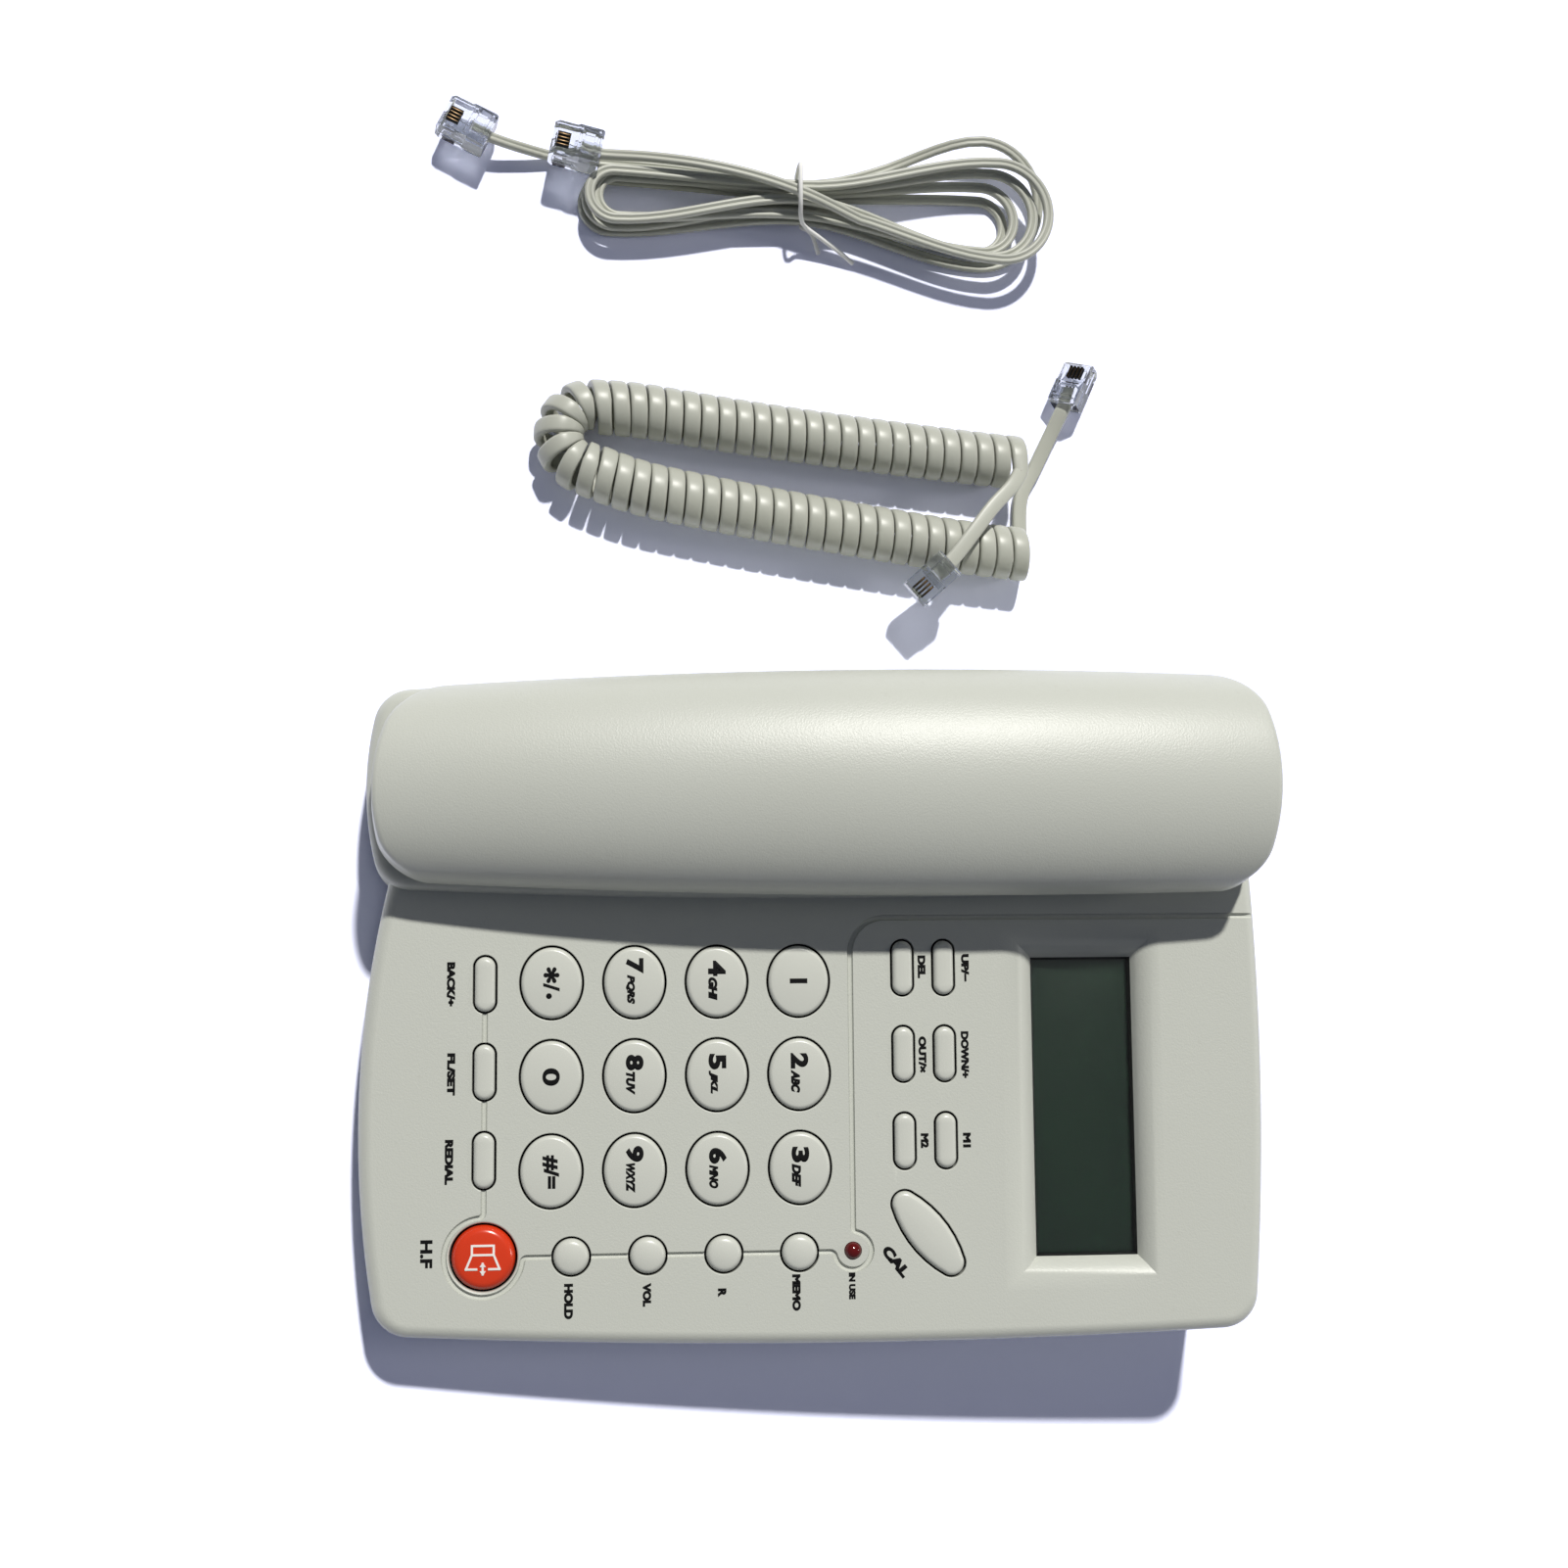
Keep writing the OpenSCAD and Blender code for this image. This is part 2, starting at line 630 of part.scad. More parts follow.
// ---- Sub-parts ----
module upper_housing() color(body_colour) difference() {
    union() {
        difference() {
            union() {
                rounded_block(deck_sides, 0);
                rounded_block(cradle_sides, cradle_rise);
            }
            difference() {
                translate([0, 0, seam_z - 1]) linear_extrude(60) deck_shape(wall);
                over_face(-wall);
            }
            difference() {
                translate([0, 0, seam_z - 1]) linear_extrude(60) cradle_shape(wall);
                over_face(cradle_rise - wall);
            }
        }
        intersection() {
            on_face() pocket_walls();
            translate([0, 0, seam_z]) linear_extrude(60) cradle_shape(wall / 2);
        }
        on_face() window_block(lens_grow + fit + frame_wall, frame_h, -wall / 2);
        for (s = screw_spots) difference() {
            translate([s[0], s[1], seam_z]) cylinder(d = boss_d, h = 40);
            over_face(s[0] < cradle_right - 1 ? bed_h - wall / 2 : -wall / 2);
        }
    }
    on_face() {
        pocket();
        grooves();
        display_recess();
        window_block(lens_grow + fit, frame_h - 1, lens_h);
        for (k = key_list) translate([k[2], k[3], -wall - 1]) linear_extrude(wall + 2)
            key_plan(k[1], key_gap);
        translate([hf_x, led_v, -wall - 1]) cylinder(d = led_d + 0.1, h = wall + 2);
        translate([hook_at[0], hook_at[1], -10]) cylinder(d = hook_d + 0.5, h = 20);
        translate([-base_half_w - 5, hs_jack_v - cradle_notch_w / 2, hs_jack_h - jack_h / 2 - 1])
            cube([base_half_w + 5 + hs_x - hs_half(hs_jack_v, grip_inset), cradle_notch_w, 20]);
    }
    for (s = screw_spots) translate([s[0], s[1], seam_z - 1]) cylinder(d = screw_d + 0.1, h = 8.5);
    line_jack_place() jack_hole(line_jack_w);
    base_jack_place() jack_hole(cord_jack_w);
    translate([hf_mic_x, -deck_front - 2, hf_mic_z]) rotate([-90, 0, 0])
        cylinder(d = sound_hole_d, h = 10);
}

module both_shapes(inset) {
    deck_shape(inset);
    cradle_shape(inset);
}

module lower_housing() color(body_colour) difference() {
    union() {
        difference() {
            translate([0, 0, floor_z]) linear_extrude(seam_z - floor_z) both_shapes(0);
            translate([0, 0, floor_z + floor_t]) linear_extrude(20) both_shapes(wall);
        }
        difference() {
            union() {
                translate([0, 0, seam_z - 2]) linear_extrude(2 + tongue_h) both_shapes(wall + fit);
                translate([0, 0, seam_z - 2]) linear_extrude(1.5) both_shapes(wall / 2);
            }
            translate([0, 0, seam_z - 3]) linear_extrude(10) both_shapes(wall + fit + tongue_t);
            tongue_breaks();
        }
        for (s = screw_spots) translate([s[0], s[1], floor_z]) cylinder(d = boss_d, h = seam_z - floor_z);
        translate([bay_at[0] - bay_w / 2 - 1.5, bay_at[1] - bay_l / 2 - 1.5, floor_z])
            cube([bay_w + 3, bay_l + 3, bay_top + 1.5 - floor_z]);
        translate([speaker_at[0], speaker_at[1], floor_z]) difference() {
            cylinder(d = speaker_d + 2 * fit + 2.4, h = floor_t + speaker_t);
            translate([0, 0, floor_t]) cylinder(d = speaker_d + 2 * fit, h = 5);
        }
    }
    for (s = screw_spots) translate([s[0], s[1], 0]) {
        cylinder(d = screw_d + 0.5, h = 20);
        cylinder(d = screw_head_d + 0.4, h = head_z + screw_head_h);
    }
    for (f = foot_spots) translate([f[0], f[1], 0]) cylinder(d = foot_d + 2 * fit, h = floor_z + 0.8);
    translate([bay_at[0] - bay_w / 2, bay_at[1] - bay_l / 2, floor_z - 1])
        cube([bay_w, bay_l, bay_top - floor_z + 1]);
    translate([bay_at[0] - bay_w / 2 - 1, bay_at[1] - bay_l / 2 - 3, floor_z - 1])
        cube([bay_w + 2, bay_l + 6, door_t + 1]);
    for (i = [-3:3], j = [-3:3])
        if (norm([i, j]) < 3.3)
            translate([speaker_at[0] + i * 4.4, speaker_at[1] + j * 4.4, 0])
                cylinder(d = sound_hole_d, h = 10, $fn = 24);
}

module tongue_breaks() {
    translate([hf_mic_x - hf_mic_d, -deck_front - 1, seam_z])
        cube([2 * hf_mic_d, hf_mic_l + 6, tongue_h + 1]);
    translate([line_jack_x - 10, base_back - 20, seam_z]) cube([20, 30, 10]);
    translate([-base_half_w - 5, base_jack_y - 10, seam_z]) cube([20, 20, 10]);
    on_face() translate([0, 0, -well_depth - wall - 0.6]) linear_extrude(30) {
        mouth_end(cradle_gap + 2);
        ear_end(cradle_gap + 2);
    }
}

module display_window() color(clear_colour) on_face()
    window_block(lens_grow, lens_h - window_t, lens_h);

module display_module() color(dark_colour) on_face()
    window_block(lens_grow, lens_h - window_t - 0.1 - lcd_t, lens_h - window_t - 0.1);

board_at = [-14, -84];
board_size = [76, 164];
mat_at = [-13, -82];
mat_size = [73.5, 118];

module main_board() color(board_colour) on_face() difference() {
    translate([board_at[0], board_at[1], board_h - board_t]) cube([board_size[0], board_size[1], board_t]);
    for (s = screw_spots) translate([s[0], s[1], -40]) cylinder(d = boss_d + 2, h = 60);
}

module keypad_mat() color(body_colour) on_face() {
    translate([mat_at[0], mat_at[1], board_h]) cube([mat_size[0], mat_size[1], mat_t]);
    for (k = key_list) translate([k[2], k[3], board_h + mat_t]) linear_extrude(1)
        key_plan(k[1], -1);
}

led_flange_d = 5;

module in_use_lamp() color([0.5, 0.02, 0.03]) on_face() translate([hf_x, led_v, 0]) {
    translate([0, 0, board_h + mat_t]) cylinder(d = led_flange_d, h = -board_h - mat_t - wall - 0.2);
    translate([0, 0, -wall - 0.3]) cylinder(d = led_d, h = wall - 0.2);
    translate([0, 0, -0.5]) intersection() {
        sphere(d = led_d);
        translate([0, 0, 2]) cube([led_d * 2, led_d * 2, 4], center = true);
    }
}

module loudspeaker() color(black_colour) translate([speaker_at[0], speaker_at[1], floor_z + floor_t]) {
    cylinder(d = speaker_d, h = speaker_t);
    translate([0, 0, speaker_t]) cylinder(d = speaker_d * 0.62, h = speaker_magnet_t);
}

module handsfree_microphone() color(black_colour)
    translate([hf_mic_x, -deck_front + wall + 0.3, hf_mic_z]) rotate([-90, 0, 0])
        cylinder(d = hf_mic_d, h = hf_mic_l);

module line_jack() color(black_colour) line_jack_place() jack_body(line_jack_w);
module base_handset_jack() color(black_colour) base_jack_place() jack_body(cord_jack_w);

module screw(len) {
    cylinder(d = screw_head_d, h = screw_head_h);
    cylinder(d = screw_d, h = len);
}

module housing_screws() color(metal_colour)
    for (s = screw_spots) translate([s[0], s[1], head_z]) screw(screw_len);

module rubber_feet() color(black_colour)
    for (f = foot_spots) translate([f[0], f[1], 0]) cylinder(d = foot_d, h = floor_z + 0.8);

module battery_cells() color([0.2, 0.35, 0.6])
    for (i = [-1:1])
        translate([bay_at[0] + i * (cell_d + 0.5), bay_at[1] - cell_l / 2,
            floor_z + door_t + 0.5 + cell_d / 2])
            rotate([-90, 0, 0]) {
                cylinder(d = cell_d, h = cell_l - 1);
                cylinder(d = 3.6, h = cell_l);
            }

module battery_door() color(body_colour) difference() {
    translate([bay_at[0] - bay_w / 2 - 1 + fit, bay_at[1] - bay_l / 2 - 3 + fit, floor_z])
        cube([bay_w + 2 - 2 * fit, bay_l + 6 - 2 * fit, door_t - 0.1]);
    for (i = [0:2]) translate([bay_at[0] - 8, bay_at[1] - bay_l / 2 + i * 3, floor_z - 0.1])
        cube([16, 1.2, 0.7]);
}

hook_top = 3.9;
hook_under = -13;

module hook_plunger() color(body_colour) on_face() translate([hook_at[0], hook_at[1], 0]) {
    translate([0, 0, hook_under]) cylinder(d = hook_d, h = hook_top - hook_under - 1.5);
    translate([0, 0, hook_top - 1.5]) intersection() {
        cylinder(d = hook_d, h = 1.5);
        translate([0, 0, 1.5 - 6]) sphere(r = 6);
    }
    translate([0, 0, bed_h - wall - hook_travel - 1.8]) cylinder(d = hook_d + 3, h = 1.5);
}

module hook_switch() color(black_colour) on_face()
    translate([hook_at[0] - 8, hook_at[1] - 6, hook_under - 6.3]) cube([16, 12, 6]);

// ---- Handset ----
hs_screw_spots = [[hs_x, -66], [hs_x, 60]];
block_h = -well_depth + seat_gap;
rim_up = 1.2;
grip_up = 1.8;
capsule_gap = 0.3;

module handset_top_shell() color(body_colour) on_face() {
    shell_of_rows(shell_rows(0, hs_crest), shell_rows(hs_wall, hs_crest - hs_wall));
    for (s = hs_screw_spots) difference() {
        translate([s[0], s[1], bow(s[1]) + 2.6]) cylinder(d = boss_d, h = crest(s[1]) - 3.6);
        translate([s[0], s[1], bow(s[1]) + 2]) cylinder(d = screw_d + 0.1, h = 9);
    }
}

module handset_bottom_shell() color(body_colour) on_face() difference() {
    union() {
        hs_slab(0, rim_up) hs_shape(hs_wall + fit);
        hs_slab(-grip_depth, grip_up) grip_shape(0);
        difference() {
            translate([0, 0, block_h]) linear_extrude(20) mouth_end(0);
            hs_top_cut();
        }
        difference() {
            translate([0, 0, block_h]) linear_extrude(25) ear_end(0);
            hs_top_cut();
        }
    }
    difference() {
        union() {
            hs_slab(-grip_depth + hs_wall, 10) grip_shape(-hs_wall);
            translate([0, 0, block_h + hs_wall]) linear_extrude(40) mouth_end(-hs_wall);
            translate([0, 0, block_h + hs_wall]) linear_extrude(40) ear_end(-hs_wall);
        }
        for (s = hs_screw_spots) translate([s[0], s[1], -20]) cylinder(d = boss_d, h = 22 + bow(s[1]));
    }
    for (s = hs_screw_spots) translate([s[0], s[1], -30]) {
        cylinder(d = screw_d + 0.5, h = 60);
        cylinder(d = screw_head_d + 0.4, h = 30 + bow(s[1]) - 3.2);
    }
    for (a = [0:60:300]) translate([hs_x + 6 * cos(a), ear_mid_v + 6 * sin(a), block_h - 1])
        cylinder(d = sound_hole_d, h = hs_wall + 2, $fn = 24);
    translate([hs_x, ear_mid_v, block_h - 1]) cylinder(d = sound_hole_d, h = hs_wall + 2, $fn = 24);
    for (i = [-1:1]) translate([hs_x + i * 4, mouth_mid_v, block_h - 1])
        cylinder(d = sound_hole_d, h = hs_wall + 2, $fn = 24);
    hs_jack_place() jack_hole(cord_jack_w);
}

module hs_top_cut()
    translate([hs_x - 60, bow_v, hs_lip_h - hs_bow_r]) rotate([0, 90, 0]) difference() {
        cylinder(r = hs_bow_r + 60, h = 120, $fn = 360);
        translate([0, 0, -1]) cylinder(r = hs_bow_r + grip_up, h = 122, $fn = 360);
    }

ear_mid_v = 79;
mouth_mid_v = -82;
receiver_t = 8;
mic_t = 6;
hs_screw_len = 12;
hs_screw_seat = 5.2;

module handset_receiver() color(black_colour) on_face()
    translate([hs_x, ear_mid_v, block_h + hs_wall + capsule_gap]) cylinder(d = receiver_d, h = receiver_t);

module handset_microphone() color(black_colour) on_face()
    translate([hs_x, mouth_mid_v, block_h + hs_wall + capsule_gap]) cylinder(d = mic_d, h = mic_t);

module handset_jack() color(black_colour) on_face() hs_jack_place() jack_body(cord_jack_w);

module handset_screws() color(metal_colour) on_face()
    for (s = hs_screw_spots) translate([s[0], s[1], bow(s[1]) - hs_screw_seat]) screw(hs_screw_len);

// ---- Cords: a tube through rings of points ----
hex_section = [[1, 0], [0.5, 1], [-0.5, 1], [-1, 0], [-0.5, -1], [0.5, -1]];
oct_section = [[1, 0.45], [0.7, 1], [-0.7, 1], [-1, 0.45],
    [-1, -0.45], [-0.7, -1], [0.7, -1], [1, -0.45]];

function unit(v) = v / norm(v);
function level(v) = unit([-v[1], v[0], 0]);
function mix(a, b, f) = a + (b - a) * f;
function smooth(f) = let (g = min(max(f, 0), 1)) g * g * (3 - 2 * g);

// One ring: the cord's wide axis points along ref, as far as the direction d lets it
function ring(p, d, ref, w, t, section) =
    let (s = unit(ref - (ref * d) * d), u = cross(d, s))
    [for (q = section) p + s * q[0] * w / 2 + u * q[1] * t / 2];

// Points on one smooth curve through a route, with a fixed number of steps in each part
function bend_through(a, b, c, d, f) =
    0.5 * (2 * b + (c - a) * f + (2 * a - 5 * b + 4 * c - d) * f * f
    + (3 * b - a - 3 * c + d) * f * f * f);
function curve(route, steps) =
    let (n = len(route))
    concat([for (i = [0:n - 2], k = [0:steps - 1])
        bend_through(i > 0 ? route[i - 1] : 2 * route[0] - route[1], route[i], route[i + 1],
            i < n - 2 ? route[i + 2] : 2 * route[n - 1] - route[n - 2], k / steps)],
        [route[n - 1]]);

// A flat cord lying along a route, turned about itself by roll at its far end
module flat_lead(route, w, t, roll, first, last) {
    p = curve(route, lead_steps);
    n = len(p) - 1;
    skin([for (i = [0:n])
        let (
            d = i == 0 ? first : i == n ? last : unit(p[i + 1] - p[i - 1]),
            a = roll * smooth((i / n - 0.5) / 0.4),
            s = level(d)
        )
        ring(p[i], d, s * cos(a) + cross(d, s) * sin(a), w, t, oct_section)]);
}

lead_steps = 2;

// ---- Curly cord ----
// The run of its axis: how many curls each part has and how far it turns to the left
curl_runs = [[13, -1.5], [7.5, -2], [4, 8.5], [5, 155], [5, 14], [7.5, 2], [7, 0.5], [6.5, 3.5]];
curl_bend = 3;
curl_bend_r = 7.6;
curl_start = [-135.5, 56];
curl_heading = -4;
curl_rings = 8;
curl_gap = 0.5;
curl_squeeze = 1.3;
curl_r = (curl_d - ribbon_t) / 2;
curl_z = curl_d / 2 + 0.05;
curl_total = sum_to(len(curl_runs));

function sum_to(n) = n == 0 ? 0 : curl_runs[n - 1][0] + sum_to(n - 1);
function run_length(i) =
    i == curl_bend ? curl_bend_r * curl_runs[i][1] * PI / 180 : curl_runs[i][0] * curl_pitch;
function along_arc(p, h, l, turn) =
    let (k = turn * PI / 180 / l)
    [p[0] + (cos(h) - cos(h + turn)) / k, p[1] - (sin(h + turn) - sin(h)) / k];

// Where each part starts: first curl, place and heading
run_starts = [for (i = 0, c = 0, p = curl_start, h = curl_heading; i < len(curl_runs);
    p = along_arc(p, h, run_length(i), curl_runs[i][1]), h = h + curl_runs[i][1],
    c = c + curl_runs[i][0], i = i + 1) [c, p, h]];

function run_at(c) = max([for (i = [0:len(curl_runs) - 1]) c >= run_starts[i][0] ? i : 0]);
function curl_state(c) =
    let (i = run_at(c), s = run_starts[i], f = (c - s[0]) / curl_runs[i][0])
    f == 0 ? [s[1], s[2]]
    : [along_arc(s[1], s[2], run_length(i) * f, curl_runs[i][1] * f), s[2] + curl_runs[i][1] * f];
function curl_inside(c) =
    let (from = run_starts[curl_bend][0], to = run_starts[curl_bend + 1][0])
    smooth(min(c - from + 0.6, to + 0.6 - c) / 0.6);
function curl_point(c) =
    let (
        s = curl_state(c),
        side = -sin(360 * c),
        inner = max(side, 0) * curl_inside(c),
        r = curl_r - curl_squeeze * inner * inner,
        across = [cos(s[1]), sin(s[1]), 0]
    )
    [s[0][0], s[0][1], curl_z] + r * (side * across + cos(360 * c) * [0, 0, 1]);
function curl_step(a, b) = norm(curl_point(b) - curl_point(a));
function curl_width(c) =
    min(ribbon_w, c < curl_total - 1 ? curl_step(c, c + 1) - curl_gap : ribbon_w,
        c > 1 ? curl_step(c - 1, c) - curl_gap : ribbon_w);
function curl_dir(c) = unit(curl_point(c + 0.01) - curl_point(c - 0.01));
function curl_axis(c) = let (h = curl_state(c)[1]) [sin(h), -cos(h), 0];

function flat(d) = unit([d[0], d[1], 0]);
curl_first = flat(curl_dir(0.01));
curl_last = flat(curl_dir(curl_total - 0.01));
curl_in = curl_point(0) - curl_first * ribbon_w;
curl_out = curl_point(curl_total) + curl_last * ribbon_w;
curl_rings_all = concat(
    [ring(curl_in, curl_first, curl_axis(0), ribbon_w, ribbon_t, hex_section)],
    [for (j = [0:curl_total * curl_rings]) let (c = j / curl_rings)
        ring(curl_point(c), curl_dir(min(max(c, 0.01), curl_total - 0.01)), curl_axis(c),
            curl_width(c), ribbon_t, hex_section)],
    [ring(curl_out, curl_last, curl_axis(curl_total), ribbon_w, ribbon_t, hex_section)]);

// Least distance between the rings of neighbouring turns
function least_gap(rings, turn) =
    min([for (j = [0:len(rings) - turn - 2], k = [-1:1], a = rings[j], b = rings[j + turn + k])
        norm(a - b)]);

// ---- Hank of line cord: loops that spiral in and out again in four layers ----
hank_waist_at = [-201, 2];
hank_left_at = [-198.2, -43.2];
hank_right_at = [-205.5, 50.6];
hank_left_r = 7.1;
hank_right_r = 15.2;
hank_loose = 2.5;
hank_gap = 0.45;
hank_lift = 1.6;
hank_fan = 0.35;
hank_rings = 24;
hank_step = line_w + hank_gap;
hank_layer = line_t + hank_gap;
hank_turn = 1.5;
hank_last = hank_loops - 1 + 11 / hank_rings;

// How far in a winding lies, and its layer
function hank_in(c) =
    c < hank_turn ? c
    : let (m = (c - hank_turn) % 2) hank_turn - (m < 1 ? m : 2 - m);
function hank_level(c) =
    c < hank_turn - 0.5 ? 0
    : let (n = floor(c - hank_turn + 0.5)) n + smooth((c - hank_turn + 0.5 - n - 5 / 12) * 6);
function hank_mid(v) =
    v < 0 ? mix(hank_waist_at, hank_left_at, smooth(-v)) : mix(hank_waist_at, hank_right_at, smooth(v));
function hank_along(v) =
    v < 0 ? mix(hank_waist_at, hank_left_at, -v)[1] : mix(hank_waist_at, hank_right_at, v)[1];
function hank_half(v, in) =
    let (waist = hank_step * (hank_turn + 0.25 - in))
    v < 0 ? mix(waist, hank_left_r - 0.4 * in, smooth(-v))
    : mix(waist, hank_right_r - hank_step * in, smooth(v));

// v runs from -1 at the left fold over 0 at the waist to 1 at the right fold
function hank_point(j) =
    let (
        c = j / hank_rings,
        i = ((j % hank_rings) + hank_rings) % hank_rings,
        in = hank_in(c),
        fold = i >= 3 && i <= 9 ? 1 : i >= 15 && i <= 21 ? -1 : 0,
        v = fold != 0 ? fold : i < 3 ? i / 3 : i < 15 ? (12 - i) / 3 : (i - 24) / 3,
        side = i <= 6 || i >= 18 ? -1 : 1,
        r = hank_half(v, in) + (v > 0 && c < 0.3 ? hank_loose * v * (1 - c / 0.3) : 0),
        a = fold == 1 ? (i - 3) * 30 : (21 - i) * 30,
        x = hank_mid(v)[0] + (fold != 0 ? -r * cos(a) : side * r),
        y = hank_along(v) + (fold != 0 ? fold * r * sin(a) : 0),
        fan = v > 0 ? 1 + hank_fan * smooth(v) : 1,
        lift = hank_lift * (1 - smooth(abs(v)))
    )
    [x, y, line_t / 2 + 0.05 + lift + hank_level(c) * hank_layer * fan];
hank_count = round(hank_last * hank_rings);
hank_first_dir = unit(hank_point(1) - hank_point(-1) + [0, 0, 0.01]);
hank_last_dir = unit(hank_point(hank_count + 1) - hank_point(hank_count - 1));
hank_in_end = hank_point(0) - hank_first_dir * line_w;
hank_out_end = hank_point(hank_count) + hank_last_dir * line_w;
hank_rings_all = concat(
    [ring(hank_in_end, hank_first_dir, level(hank_first_dir), line_w, line_t, hex_section)],
    [for (j = [0:hank_count])
        let (d = j == 0 ? hank_first_dir : unit(hank_point(j + 1) - hank_point(j - 1)))
        ring(hank_point(j), d, level(d), line_w, line_t, hex_section)],
    [ring(hank_out_end, hank_last_dir, level(hank_last_dir), line_w, line_t, hex_section)]);

echo(curly_cord_least_gap = least_gap(curl_rings_all, curl_rings));
echo(hank_least_gap = min([for (n = [1:hank_loops - 1]) least_gap(hank_rings_all, n * hank_rings)]));
echo(hank_runs_least_gap = min([for (j = [0:len(hank_rings_all) - 2], k = [j + 2:len(hank_rings_all) - 1])
    k - j > 6 ? min([for (a = hank_rings_all[j], b = hank_rings_all[k]) norm(a - b)]) : 100]));

// ---- Plugs: rear middle, heading, dip of the nose and roll ----
plug_len = 12.3;
cord_plug_len = 11.7;
line_plug_w = 9.65;
cord_plug_w = 7.65;
plug_body_h = 5.8;
plug_pocket = 5;
near_plug = [[-107.3, 36.7, 14.9], -47.7, -8, 0];
far_plug = [[-151.2, 70.4, 5.4], 155.5, 0, -40];
outer_plug = [[-211.7, -75.2, 6.2], -114.2, 0, 12];
inner_plug = [[-208.3, -48.3, 8.7], -101.5, 0, 12];

function nose(g) = [cos(g[1]) * cos(g[2]), sin(g[1]) * cos(g[2]), sin(g[2])];
module plug_place(g) translate(g[0]) rotate([0, 0, g[1]]) rotate([g[3], -g[2], 0]) children();
function pocket_end(g) = g[0] + nose(g) * plug_pocket;

contact_t = 0.35;
contact_pitch = 1.02;
contact_len = 3.2;
contact_deep = 2.4;
contact_back = 1.2;

module plug_body(w, len, cord_w, cord_t, contacts) {
    h = plug_body_h;
    difference() {
        union() {
            rotate([90, 0, 0]) translate([0, 0, -w / 2]) linear_extrude(w)
                polygon([[0, -h / 2 + 0.5], [0.5, -h / 2], [len - 1, -h / 2], [len, -h / 2 + 1],
                    [len, h / 2 - 1.6], [len - 1, h / 2 - 0.6], [len * 0.55, h / 2 - 0.6],
                    [len * 0.5, h / 2], [0.5, h / 2], [0, h / 2 - 0.5]]);
            rotate([90, 0, 0]) translate([0, 0, -1.6]) linear_extrude(3.2)
                polygon([[len - 1, -h / 2 - 0.1 + 0.2], [len - 1.6, -h / 2 - 0.8],
                    [len - 5, -h / 2 - 1.6], [1.5, -h / 2 - 2.6], [1.5, -h / 2 - 1.8],
                    [len - 4.6, -h / 2 - 0.8], [len - 3, -h / 2 + 0.2]]);
            translate([len - 7.4, -3, -h / 2 - 1.55]) cube([1.2, 6, 0.75]);
        }
        translate([-1, -cord_w / 2 - 0.15, -cord_t / 2 - 0.15])
            cube([plug_pocket + 1, cord_w + 0.3, cord_t + 0.3]);
        translate([plug_pocket * 0.42, -w * 0.3, h / 2 - 1]) cube([2.4, w * 0.6, 2]);
        for (i = [0:contacts - 1])
            translate([len - contact_back - contact_len,
                (i - (contacts - 1) / 2) * contact_pitch - contact_t / 2 - 0.1, h / 2 - 0.6 - contact_deep])
                cube([contact_len, contact_t + 0.2, contact_deep + 1]);
    }
}

module plug_contacts(len, contacts)
    for (i = [0:contacts - 1])
        translate([len - contact_back - contact_len + 0.1,
            (i - (contacts - 1) / 2) * contact_pitch - contact_t / 2, plug_body_h / 2 - 0.6 - contact_deep])
            cube([contact_len - 0.2, contact_t, contact_deep - 0.3]);

// Routes of the free leads between plugs and windings
near_lead = [curl_in, [-127.5, 53.4, 13.8], [-121.5, 47.8, 14.8], [-114.2, 42.2, 15.2],
    near_plug[0], pocket_end(near_plug)];
far_lead = [curl_out, [-127.5, 59.4, 1.5], [-135.5, 63.2, 1.9], [-143.5, 66.9, 3.2],
    far_plug[0], pocket_end(far_plug)];
outer_lead = [hank_in_end, [-207.6, -15, 1.7], [-208.9, -29, 1.2], [-209.3, -44, 1.2],
    [-209.6, -57, 1.5], [-210.4, -67, 4], outer_plug[0], pocket_end(outer_plug)];
inner_lead = [hank_out_end, [-200.2, 3, 12], [-203.8, -10, 12.4], [-206.2, -23, 11.8],
    [-207.7, -36, 10.2], inner_plug[0], pocket_end(inner_plug)];

// Route of the wire of the twist tie
tie_route = [[-189.2, 7.6, 1.2], [-192.8, 5.6, 3.6], [-194.6, 4.2, 3], [-196, 3.2, 1.3],
    [-199.5, 2.8, 0.8], [-205, 2.4, 0.8], [-208.3, 2, 1.8], [-208.8, 1.6, 6], [-208.3, 1.2, 11],
    [-206, 0.8, 13.7], [-201.5, 0.6, 14.2], [-197.5, 0.8, 13], [-195, 1.4, 10], [-193.8, 3, 7],
    [-191.8, 7.4, 5], [-189.6, 12, 3.2], [-187.2, 16.5, 1.2]];
tie_d = 1.1;
tie_rings = [for (p = [curve(tie_route, 2)], i = [0:len(p) - 1])
    let (d = unit(p[min(i + 1, len(p) - 1)] - p[max(i - 1, 0)]))
    ring(p[i], d, abs(d[1]) > 0.7 ? [1, 0, 0] : [0, 1, 0], tie_d, tie_d, hex_section)];

